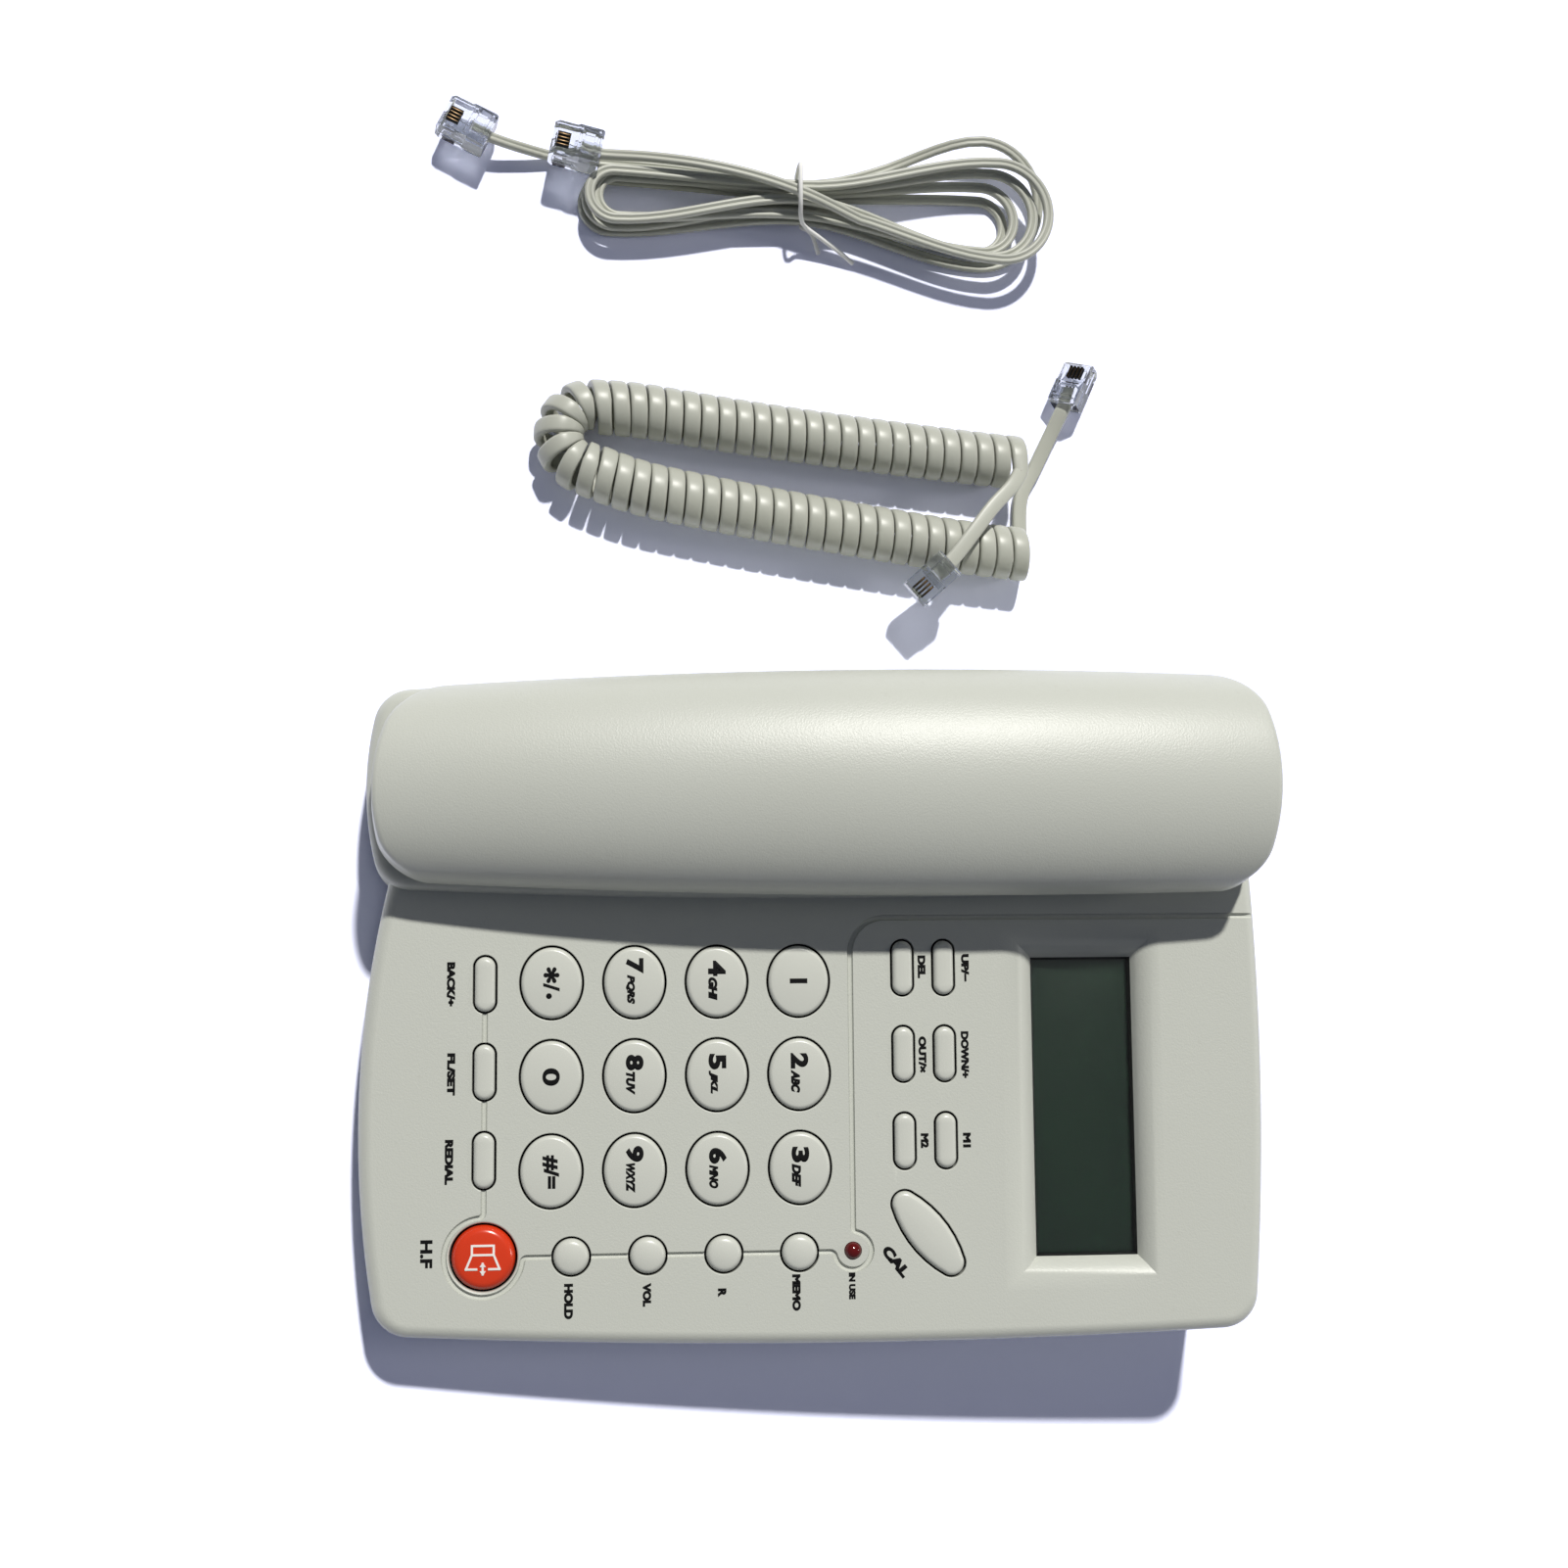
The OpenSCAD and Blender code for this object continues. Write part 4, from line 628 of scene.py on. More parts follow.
hank = {
    "width": 0.0026, "thickness": 0.0019, "loops": 5, "gap": 0.00045, "turn": 1.5, "rings": 24, "finer": 4,
    "waist": (-0.201, 0.002), "lift": 0.0016, "fan": 0.35, "loose": 0.007,
    "leftFolds": [(-0.1984, -0.0455, 0.0066), (-0.1992, -0.0445, 0.0069), (-0.199, -0.0435, 0.0052),
        (-0.1986, -0.0448, 0.0062)],  # middle and radius of each fold, from the table up
    "rightFolds": [(-0.2036, 0.0495, 0.0154), (-0.199, 0.0495, 0.0069), (-0.1997, 0.0497, 0.0086),
        (-0.1997, 0.0515, 0.011), (-0.1997, 0.053, 0.0127)],
    "outerRoute": [(-0.2076, -0.015, 0.0017), (-0.2089, -0.029, 0.0012), (-0.2093, -0.044, 0.0012),
        (-0.2096, -0.057, 0.0015), (-0.2104, -0.067, 0.004)],
    "innerRoute": [(-0.2002, 0.003, 0.012), (-0.2038, -0.010, 0.0124), (-0.2062, -0.023, 0.0118),
        (-0.2077, -0.036, 0.0102)],
    "section": [(1, 0), (0.97, 0.38), (0.86, 0.74), (0.68, 0.95), (0.45, 1), (0.24, 0.93), (0.1, 0.74),
        (0, 0.66)],  # a quarter of the twin cord's, mirrored to both sides
}


def hankInset(c):
    m = (c - hank["turn"]) % 2
    return c if c < hank["turn"] else hank["turn"] - (m if m < 1 else 2 - m)


def hankLevel(c):
    if c < hank["turn"] - 0.5:
        return 0
    n = int(c - hank["turn"] + 0.5)
    return n + smooth((c - hank["turn"] + 0.5 - n - 5 / 12) * 6)


def hankPoint(j):  # of the 24 points of a loop, 3 to 9 lie in its right fold and 15 to 21 in its left
    c = j / hank["rings"]
    i = j % hank["rings"]
    inset = hankInset(c)
    fold = 1 if 3 <= i <= 9 else -1 if 15 <= i <= 21 else 0
    v = fold or (i / 3 if i < 3 else (12 - i) / 3 if i < 15 else (i - 24) / 3)
    side = -1 if i <= 6 or i >= 18 else 1
    pitch = hank["width"] + hank["gap"]
    waist = pitch * (hank["turn"] + 0.25 - inset)
    middleX, middleY = hank["waist"]
    foldX, foldY, radius = hank["leftFolds" if v < 0 else "rightFolds"][max(int(c), 0)]
    half = blend(waist, radius, smooth(abs(v)))
    across = blend(middleX, foldX, smooth(abs(v)))
    along = blend(middleY, foldY, abs(v))
    turn = radians((i - 3) * 30 if fold == 1 else (21 - i) * 30)
    x = across + (-half * cos(turn) if fold else side * half)
    y = along + (fold * half * sin(turn) if fold else 0)
    fan = 1 + hank["fan"] * smooth(v) if v > 0 else 1
    layer = (hank["thickness"] + hank["gap"]) * fan
    lift = hank["lift"] * (1 - smooth(abs(v)))
    if 0 < c < 0.375:  # the first fold stands up from the table
        lift += hank["loose"] * smooth((v - 0.45) / 0.55) * smooth((9 - i) / 6 if i > 3 else 1)
    return Vector((x, y, hank["thickness"] / 2 + 0.00005 + lift + hankLevel(c) * layer))


def makeLineCord():
    size = hank["width"], hank["thickness"]
    count = round((hank["loops"] - 1 + 11 / 24) * hank["rings"])
    first = unit(hankPoint(1) - hankPoint(-1) + Vector((0, 0, 0.00001)))
    last = unit(hankPoint(count + 1) - hankPoint(count - 1))
    outer = leadTo("outer", hankPoint(0) - first * size[0], hank["outerRoute"], -first, size)
    inner = leadTo("inner", hankPoint(count) + last * size[0], hank["innerRoute"], last, size)
    points = [hankPoint(j / hank["finer"]) for j in range(count * hank["finer"] + 1)]
    along = [first, *headings(points)[1:-1], last]
    winding = [(point, d, levelAcross(d), *size) for point, d in zip(points, along)]
    top = hank["section"] + [(-a, b) for a, b in reversed(hank["section"][:-1])]
    section = top + [(a, -b) for a, b in reversed(top[1:-1])]
    return makeCord("lineCord", outer, winding, inner, section, "line_cord_hank", "line_cord_outer_lead",
        "line_cord_inner_lead")


tie = {
    "diameter": 0.0011, "section": (10, 2),
    "route": [(-0.1892, 0.0076, 0.0012), (-0.1928, 0.0056, 0.0036), (-0.1946, 0.0042, 0.003),
        (-0.196, 0.0032, 0.0013), (-0.1995, 0.0028, 0.0008), (-0.205, 0.0024, 0.0008),
        (-0.2083, 0.002, 0.0018), (-0.2088, 0.0016, 0.006), (-0.2083, 0.0012, 0.011),
        (-0.206, 0.0008, 0.0137), (-0.2015, 0.0006, 0.0142), (-0.1975, 0.0008, 0.013),
        (-0.195, 0.0014, 0.010), (-0.1938, 0.003, 0.007), (-0.1918, 0.0074, 0.005),
        (-0.1896, 0.012, 0.0032), (-0.1872, 0.0165, 0.0012)],
}


def makeTie():
    points = throughPoints([Vector(p) for p in tie["route"]], 6)
    stations = []
    for point, d in zip(points, headings(points)):
        across = Vector((1, 0, 0)) if abs(d.y) > 0.7 else Vector((0, 1, 0))
        stations.append((point, d, across, tie["diameter"], tie["diameter"]))
    piece = sweepCord("cordTie", stations, roundedSection(*tie["section"]))
    dress(piece, "tie", "tie_plastic", "base", "line_cord_tie")
    return piece


handsetCord, handsetPath = makeCurlyCord()
lineCord, linePath = makeLineCord()
cordTie = makeTie()


def plugPlace(plug):
    place, heading, dip, roll = plugs[plug]
    return (Matrix.Translation(place) @ Matrix.Rotation(radians(heading), 4, "Z")
        @ Matrix.Rotation(radians(-dip), 4, "Y") @ Matrix.Rotation(radians(roll), 4, "X"))


plugMould = {
    "topGrooves": [(0.5, -0.9, 0.9, 2.2), (0, 0.75, 0.7, 2.1)],  # share of the length, offset, margin, floor
    "grooveWidth": 0.6, "top": 4, "sideFrom": 0.42, "sideStop": 0.9, "sideDepth": 0.35, "sideLow": -1.2,
    "sideHigh": 0.8,
    "slots": (-4.45, -1.15, 2, -0.2, 2.15),  # contact slots with walls painted near-black for their shade: from and to, half width, low and high
}


def makePlugs(node, name, pair, length, width):  # clear bodies with moulded recesses, and painted shade on the walls of the contact slots
    side = width / 2
    shallow = side - plugMould["sideDepth"]
    start, stop = length * plugMould["sideFrom"], length - plugMould["sideStop"]
    boxes = []
    for share, offset, margin, floor in plugMould["topGrooves"]:
        x = length * share + offset
        high = (x + plugMould["grooveWidth"], side - margin, plugMould["top"])
        boxes.append(((x, margin - side, floor), high))
    for low, high in ((shallow, side + 1), (-side - 1, -shallow)):
        boxes.append(((start, low, plugMould["sideLow"]), (stop, high, plugMould["sideHigh"])))
    cutters = []
    for plug in pair:
        for low, high in boxes:
            cutters.append(boxBlock("recess", low, high))
            cutters[-1].data.transform(plugPlace(plug))
    piece = copyWorks(node, name, edge=0.1, cutters=cutters)
    back, front, half, low, high = plugMould["slots"]
    places = [plugPlace(plug).inverted() for plug in pair]

    def inSlots(face):
        spots = [place @ face.center / mm for place in places]
        return any(back < s.x - length < front and abs(s.y) < half and low < s.z < high for s in spots)

    # painted shade: the slot walls take a near-black, for the shade inside the slots
    paintTwo(piece, "clear", "keyGap", inSlots)
    return dress(piece, "clear", "clear_plug_plastic", "base", node)


cordPlugs = makePlugs("handset_cord_plugs", "handsetCordPlugs", ("near", "far"), length=11.7, width=7.65)
linePlugs = makePlugs("line_cord_plugs", "lineCordPlugs", ("outer", "inner"), length=12.3, width=9.65)
dress(copyWorks("cord_plug_contacts", "plugBlades", edge=0.05), "brass",
    "contact_brass", "base", "cord_plug_contacts")

print("curly cord:", round(pathLength(handsetPath), 3), "m, line cord:", round(pathLength(linePath), 3), "m")


base = {
    "deckFront": 103.1, "back": 103.1, "halfWidth": 75.7, "deckLeft": -42, "frontRadius": 238,
    "sideRadius": 1880, "backRadius": 640, "frontMiddle": 25, "sideMiddle": 20, "backMiddle": 10,
    "cradleFront": 102.2, "cradleFrontRadius": 73.5, "cradleFrontMiddle": -50, "cradleRight": -24.5,
    "cradleRise": 4.5, "faceHeight": 30, "wall": 2.2, "seam": 10, "seamIn": 0.35, "seamUp": 0.4,
    "corner": 8.5, "edge": 3, "edgeSteps": 9, "deckStep": 0.3,
    "wellGrow": (8, 8, 0, 1),  # how far the wells' front, right, back and left lie outside the cradle's
}

deckSides = [  # middle and radius of the arcs in front, at the right, behind and at the left
    (base["frontMiddle"], base["frontRadius"] - base["deckFront"], base["frontRadius"]),
    (base["halfWidth"] - base["sideRadius"], base["sideMiddle"], base["sideRadius"]),
    (base["backMiddle"], base["back"] - base["deckStep"] - base["backRadius"], base["backRadius"]),
    (base["sideRadius"] + base["deckLeft"], 0, base["sideRadius"])]
cradleSides = [
    (base["cradleFrontMiddle"], base["cradleFrontRadius"] - base["cradleFront"], base["cradleFrontRadius"]),
    (base["cradleRight"] - base["sideRadius"], 0, base["sideRadius"]),
    (base["backMiddle"], base["back"] - base["backRadius"], base["backRadius"]),
    (base["sideRadius"] - base["halfWidth"], base["sideMiddle"], base["sideRadius"])]
wellSides = [(x, y, radius + grow) for (x, y, radius), grow in zip(cradleSides, base["wellGrow"])]


def away(c, r, a):
    return (c[0] + r * cos(a), c[1] + r * sin(a))


def aim(a, b):
    return atan2(b[1] - a[1], b[0] - a[0])


def circlesMeet(a, ra, b, rb):
    gap = Vector((b[0] - a[0], b[1] - a[1]))
    d = gap.length
    u = gap / d
    m = (ra * ra - rb * rb + d * d) / (2 * d)
    h = sqrt(ra * ra - m * m)
    return (a[0] + m * u.x - h * u.y, a[1] + m * u.y + h * u.x)


def outline(sides, cornerRadius, inset, sideSteps=24, cornerSteps=12):  # four arcs with rounded corners
    r = max(cornerRadius - inset, 0.6)
    big = [s[2] - inset for s in sides]
    centres = [(s[0], s[1]) for s in sides]
    corners = [circlesMeet(centres[i - 4], big[i - 4] - r, centres[i - 3], big[i - 3] - r) for i in range(4)]
    points = []
    for i in range(4):
        start = aim(centres[i], corners[i - 1])
        stop = aim(centres[i], corners[i])
        following = aim(centres[(i + 1) % 4], corners[i])
        run = (stop - start) % tau
        bend = (following - stop) % tau
        points += [away(centres[i], big[i], start + run * k / sideSteps) for k in range(sideSteps)]
        points += [away(corners[i], r, stop + bend * k / cornerSteps) for k in range(cornerSteps)]
    return points


def deckHeight(y, rise):  # height over the table of a plane that lies a rise over the deck
    return base["faceHeight"] + rise / cos(slope) + y * tan(slope)


def roundedBlock(name, sides, rise):
    rings = [flatRing(outline(sides, base["corner"], base["seamIn"]), base["seam"]),
        flatRing(outline(sides, base["corner"], 0), base["seam"] + base["seamUp"])]
    for inward, down in quarterArc(base["edgeSteps"]):
        points = outline(sides, base["corner"], base["edge"] * inward)
        rings.append([(x, y, deckHeight(y, rise - base["edge"] * down)) for x, y in points])
    return stackRings(name, rings)


def innerBlock(name, sides, rise):
    points = outline(sides, base["corner"], base["wall"], 12, 6)
    ceiling = [(x, y, deckHeight(y, rise)) for x, y in points]
    return stackRings(name, [flatRing(points, base["seam"] - 1), ceiling])


keyCap = {
    "proud": 1.0, "gap": 0.45, "shadeBelow": -1.3, "flange": 0.9, "flangeTop": -2.5, "flangeBottom": -3.5,
    "stem": -0.8, "bottom": -6.3, "points": 56, "crownRings": (0.86, 0.7, 0.52, 0.34, 0.16),
    "dial": {"size": (16, 13.7), "dome": 60, "edge": 0.9},
    "pill": {"size": (12.3, 4.6), "dome": 9, "edge": 0.9},
    "round": {"size": (8, 8), "dome": 13, "edge": 1.0},
    "hf": {"size": (14.2, 14.2), "dome": 50, "edge": 1.7},
    "oval": {"size": (22.6, 9), "ends": 0.64, "turn": 38.5, "dome": 26, "edge": 1.0},
}

keyGroups = [  # kind, names, x and v of the first middle, steps of x and v to the next
    ("dial", "1 2 3", -5.6, -4.95, 21, 0), ("dial", "4 5 6", -5.6, -23.6, 21, 0),
    ("dial", "7 8 9", -5.6, -42.25, 21, 0), ("dial", "star 0 hash", -5.6, -60.9, 21, 0),
    ("pill", "back set redial", -5.4, -75.8, 19.6, 0), ("hf", "handsfree", 55, -75.8, 0, 0),
    ("round", "memory recall volume hold", 55.2, -5.2, 0, -17.05),
    ("pill", "delete out store_2", -8.4, 19, 19.6, 0), ("pill", "up down store_1", -8.4, 28.5, 19.6, 0),
    ("oval", "call", 51.5, 24.1, 0, 0)]
keyPlaces = [("key_" + name, kind, x + i * stepX, v + i * stepV)
    for kind, names, x, v, stepX, stepV in keyGroups for i, name in enumerate(names.split())]
keySpots = {name: (x, v) for name, kind, x, v in keyPlaces}


def keyRing(kind, grow):  # the outline of a key, or of its hole, point by point round it
    a, b = [side / 2 for side in keyCap[kind]["size"]]
    points = []
    for i in range(keyCap["points"]):
        t = tau * (i + 0.5) / keyCap["points"]
        c, s = cos(t), sin(t)
        if kind == "pill":
            points.append((copysign(a - b, c) + (b + grow) * c, (b + grow) * s))
        elif kind == "oval":
            small = b * keyCap[kind]["ends"]
            big = (a * a + b * b - 2 * a * small) / (2 * (b - small))
            if abs(s) > sin(atan2(big - b, a - small)):
                x, y = (big + grow) * c, (big + grow) * s - copysign(big - b, s)
            else:
                x, y = copysign(a - small, c) + (small + grow) * c, (small + grow) * s
            points.append(turned(x, y, keyCap[kind]["turn"]))
        else:
            points.append(((a + grow) * c, (b + grow) * s))
    return points


def straightRun(kind):  # half of the straight part between a pill's round ends
    length, width = keyCap[kind]["size"]
    return (length - width) / 2


def crownHeight(kind, x, y):
    dome = keyCap[kind]["dome"]
    if kind == "oval":
        x, y = turned(x, y, -keyCap[kind]["turn"])
        x /= 2
    if kind == "pill":
        x = max(abs(x) - straightRun(kind), 0)
    return keyCap["proud"] - dome + sqrt(dome * dome - x * x - y * y)


def makeKeyCap(kind):
    edge = keyCap[kind]["edge"]
    foot = [("stem", "bottom"), ("stem", "flangeBottom"), ("flange", "flangeBottom"), ("flange", "flangeTop")]
    rings = [flatRing(keyRing(kind, keyCap[grow]), keyCap[height]) for grow, height in foot]
    rings.append(flatRing(keyRing(kind, 0), keyCap["flangeTop"]))
    for inward, down in quarterArc(6):
        ring = keyRing(kind, -edge * inward)
        rings.append([(x, y, crownHeight(kind, x, y) - edge * down) for x, y in ring])
    ring = keyRing(kind, -edge)
    for share in keyCap["crownRings"]:
        if kind == "pill":
            run = straightRun(kind) * (1 - share)
            inner = [(copysign(run, x) + x * share, y * share) for x, y in ring]
        else:
            inner = [(x * share, y * share) for x, y in ring]
        rings.append([(x, y, crownHeight(kind, x, y)) for x, y in inner])
    cap = stackRings(kind + "Cap", rings)
    # painted shade: the flange and stem below shadeBelow take a near-black, for the shade in the gap round
    # the key
    paintTwo(cap, "redKey" if kind == "hf" else "key", "keyGap",
        lambda face: face.center.z < keyCap["shadeBelow"] * mm)
    shade(cap, 40)
    return cap


def atKeys(make, ending):  # a copy of its kind's form at every key's place, still flat
    forms = {kind: make(kind) for kind in ("dial", "pill", "round", "hf", "oval")}
    copies = []
    for name, kind, x, v in keyPlaces:
        copies.append(addObject(name + ending, forms[kind].data.copy()))
        copies[-1].data.transform(Matrix.Translation((x * mm, v * mm, 0)))
    for form in forms.values():
        bpy.data.objects.remove(form)
    return copies


def makeKeys():
    for key, place in zip(atKeys(makeKeyCap, "_cap"), keyPlaces):
        ontoDeck(key)
        name, red = place[0], place[1] == "hf"
        dress(key, "redKey" if red else "key", "red_key_plastic" if red else "key_plastic", name, name)
    print("keys:", len(keyPlaces))


deck = {
    "window": (-10.6, 57.6, 49.6, 73.2),  # left, right, front and back
    "windowDepth": 4, "bezelSide": 4, "bezelBack": 3.5, "bezelFront": 4.6,
    "bezel": [(0, -4), (0.15, -3.0), (0.35, -2.1), (0.6, -1.35), (0.85, -0.82), (1.1, -0.44), (1.35, -0.19),
        (1.6, -0.05), (1.8, 0.005), (1.8, 3)],  # share of the bezel's width, and height
    "lensLip": 0.8, "lipSlant": 0.5, "lensRoom": 1.7, "windowThickness": 1.5, "frameWall": 2,
    "frameBelow": 1.2, "displayFrameAndShade": 1.9, "holeEdge": 0.22, "redHoleEdge": 0.5,
    "lampPlace": (55, 6.9), "lampHole": 4, "hookPlace": (-50, 44), "hookHole": 7.5,
    "grooveWidth": 1.3, "grooveDepth": 0.85, "redRing": 8.7, "lampRing": 4.2, "grooveX": -19.9, "grooveV": 7,
    "grooveTurn": 8, "grooveFillet": 1.1, "grooveSection": (12, 2.4), "pillReach": 6, "roundReach": 4,
    "bed": 1, "wellDepth": 7.2, "wellWall": 1.2, "cradleGap": 0.5, "micWell": -57, "earWell": 55,
    "cradleWall": 3.4, "jackHeight": 6.9, "jackWall": 1.3, "jackLevel": 18, "jackClearance": 0.2,
    "jackReach": 12, "lineJack": (30, 101.5, 9.9), "cordJack": (-74.5, 30, 7.9),  # middle and width
    "notch": (-87, -77, 20),  # front, back and height of the room for the cord of the handset
    "micHole": (30, 14, 2), "micThrough": (-112, -96),  # x, z and diameter, and from and to along y
}

handset = {
    "halfWidth": 25.6, "x": -49.9, "front": -100.9, "back": 103.2, "frontRadius": 42, "backRadius": 75,
    "sideRadius": 2140, "corner": 9, "crest": 16, "endLean": 1.5, "bowRadius": 1150, "lip": 13, "widest": 35,
    "bowMiddle": 22, "frontMiddle": 1.9, "wall": 2, "gripInset": 3.5, "columns": 48, "rows": 64,
    "endEdge": 1.3, "endSteps": 5, "innerEdge": 0.4,  # how much less the lining's edge is per millimetre
}


def bow(v):
    r = handset["bowRadius"]
    return handset["lip"] - r + sqrt(r * r - (v - handset["bowMiddle"]) ** 2)


def handsetHalf(v, d):
    return handset["halfWidth"] - (v - handset["widest"]) ** 2 / (2 * handset["sideRadius"]) - d


def cornerDrop(x, a, r):
    return r - sqrt(max(0, r * r - (abs(x) - a + r) ** 2)) if abs(x) > a - r else 0


def handsetFront(x, d):
    return (handset["front"] + d + (x - handset["frontMiddle"]) ** 2 / (2 * handset["frontRadius"])
        + cornerDrop(x, handsetHalf(handset["front"], d), handset["corner"] - d))


def handsetBack(x, d):
    return (handset["back"] - d - x * x / (2 * handset["backRadius"])
        - cornerDrop(x, handsetHalf(handset["back"], d), handset["corner"] - d))


def handsetSpot(phi, t, d, lean):
    s = sin(phi)
    front = handsetFront(handsetHalf(handset["front"], d) * s, d) + lean
    back = handsetBack(handsetHalf(handset["back"], d) * s, d) - lean
    v = front + (back - front) * t
    return handsetHalf(v, d) * s, v


def handsetPlan(d, steps=32, rows=16):
    half = [(pi * (i / steps - 0.5), 0) for i in range(steps + 1)]
    half += [(pi / 2, j / rows) for j in range(1, rows)]
    ring = [handsetSpot(phi, t, d, 0) for phi, t in half + [(-phi, 1 - t) for phi, t in half]]
    return [(x + handset["x"], v) for x, v in ring]


def gripPrism(name, grow, low, high):  # the outline of the handset's underside, grown, from low to high
    grip = prism(name, handsetPlan(handset["gripInset"] - grow), low, high)
    well = outline(wellSides, base["corner"], deck["cradleWall"] - grow)
    combine(grip, prism("well", well, low - 1, high + 1), "INTERSECT")
    return grip


def endWells(name, grow, low, high):
    wells = gripPrism(name, grow, low, high)
    ends = joinPieces("ends", [
        boxBlock("mouth", (-110, -120, low - 1), (10, deck["micWell"] + grow, high + 1)),
        boxBlock("ear", (-110, deck["earWell"] - grow, low - 1), (10, 130, high + 1))])
    combine(wells, ends, "INTERSECT")
    return wells


def windowRing(side, toFront=None, toBack=None):  # the window, grown
    left, right, front, back = deck["window"]
    front -= side if toFront is None else toFront
    back += side if toBack is None else toBack
    return [(right + side, back), (left - side, back), (left - side, front), (right + side, front)]


def displayCutter():  # mitred slopes that round over into the deck
    lip = windowRing(-deck["lipSlant"])
    foot = -deck["windowDepth"] - deck["lensLip"]
    rings = [flatRing(lip, foot - 0.4), flatRing(lip, foot)]
    for share, z in deck["bezel"]:
        front, back = deck["bezelFront"] * share, deck["bezelBack"] * share
        rings.append(flatRing(windowRing(deck["bezelSide"] * share, front, back), z))
    return stackRings("displayCutter", rings)


def keyHoleCutter(kind):
    gap, edge = keyCap["gap"], deck["redHoleEdge"] if kind == "hf" else deck["holeEdge"]
    rings = [flatRing(keyRing(kind, gap), -base["wall"] - 1)]
    for outward, down in quarterArc(4):
        rings.append(flatRing(keyRing(kind, gap + edge * outward), -edge * down))
    rings.append(flatRing(keyRing(kind, gap + edge), 2))
    return stackRings(kind + "Hole", rings)


def circle(x, y, diameter, points):
    return [away((x, y), diameter / 2, tau * i / points) for i in range(points)]


def grooveCutter(name, path):
    points = [Vector((*point, 0)) * mm for point in path]
    size = deck["grooveWidth"] * mm, 2 * deck["grooveDepth"] * mm
    stations = [(point, d, levelAcross(d), *size) for point, d in zip(points, headings(points))]
    return sweepCord(name, stations, roundedSection(*deck["grooveSection"]))


def turnPoints(centre, r, start, stop, steps=10):  # a right-hand turn
    sweep = (stop - start) % tau - tau
    return [away(centre, r, start + sweep * k / steps) for k in range(steps + 1)]


def ringPath(centre, r, entry, leave):  # in along a straight, most of the way round and out along another
    fillet = deck["grooveFillet"]
    ends = []
    for (heading, offset), sign in ((entry, -1), (leave, 1)):
        h = radians(heading)
        u, n = Vector((cos(h), sin(h))), Vector((sin(h), -cos(h)))
        reach = sqrt((r + fillet) ** 2 - (offset + fillet) ** 2)
        middle = Vector(centre) + n * (offset + fillet) + u * sign * reach
        ends.append((middle, aim((0, 0), -n), aim(middle, centre), aim(centre, middle)))
    (first, foot, meeting, start), (last, endFoot, parting, stop) = ends
    round1 = turnPoints(first, fillet, foot, meeting)
    round2 = turnPoints(last, fillet, parting, endFoot)
    sweep = (stop - start) % tau
    return round1 + [away(centre, r, start + sweep * k / 40) for k in range(1, 40)] + round2


def grooveCutters():  # between the keys, and round the red key and the lamp
    pill, disc = deck["pillReach"], deck["roundReach"]  # every end lies inside a key's hole
    row = [keySpots["key_" + name] for name in ("back", "set", "redial")]
    column = [keySpots["key_" + name] for name in ("memory", "recall", "volume", "hold")]
    paths = [[(a + pill, v), (b - pill, v)] for (a, v), (b, v) in zip(row, row[1:])]
    paths += [[(x, a - disc), (x, b + disc)] for (x, a), (x, b) in zip(column, column[1:])]
    red, lamp = keySpots["key_handsfree"], deck["lampPlace"]
    (rowX, rowV), (x, top), low = row[-1], column[0], column[-1][1]
    shift = x - red[0]
    turn, lineX, lineV = deck["grooveTurn"], deck["grooveX"], deck["grooveV"]
    redRing = ringPath(red, deck["redRing"], (0, 0), (90, shift))
    lampRing = ringPath(lamp, deck["lampRing"], (90, shift), (180, lineV - lamp[1]))
    corner = turnPoints((lineX + turn, lineV + turn), turn, -pi / 2, pi, 14)
    paths.append([(rowX + pill, rowV)] + redRing + [(x, low - disc)])
    paths.append([(x, top + disc)] + lampRing + corner + [(lineX, base["back"] + 5)])
    return [grooveCutter("groove", path) for path in paths]


def jackCutter(name, wide, place, turn):
    clear = deck["jackClearance"] + deck["jackWall"]
    half, high = wide / 2 + clear, deck["jackHeight"] / 2 + clear
    cutter = boxBlock(name, (-deck["jackReach"], -half, -high), (deck["jackReach"], half, high))
    spin = Matrix.Rotation(radians(turn), 4, "Z")
    cutter.data.transform(Matrix.Translation(Vector(place) * mm) @ spin)
    return cutter


def hollowShell():  # outer walls, deck and cradle, with walls round the wells, the bed and the window
    shell = roundedBlock("upperHousing", deckSides, 0)
    combine(shell, roundedBlock("cradleBlock", cradleSides, base["cradleRise"]), "UNION")
    cavity = innerBlock("cavity", deckSides, -base["wall"])
    combine(cavity, innerBlock("cradleCavity", cradleSides, base["cradleRise"] - base["wall"]), "UNION")
    around = deck["cradleGap"] + deck["wellWall"]
    lensTop = -deck["windowDepth"] - deck["lensLip"]
    frameLow = lensTop - deck["windowThickness"] - deck["frameBelow"]
    for solid in (endWells("wellWalls", around, -deck["wellDepth"] - base["wall"], 20),
            gripPrism("bedWalls", around, deck["bed"] - base["wall"], 20),
            prism("windowFrame", windowRing(deck["lensRoom"] + deck["frameWall"]), frameLow, 5)):
        ontoDeck(solid)
        combine(cavity, solid)
    combine(shell, cavity)
    print("  shell hollowed:", len(shell.data.polygons), "faces")
    return shell, prism("lensRoom", windowRing(deck["lensRoom"]), frameLow - 1, lensTop)


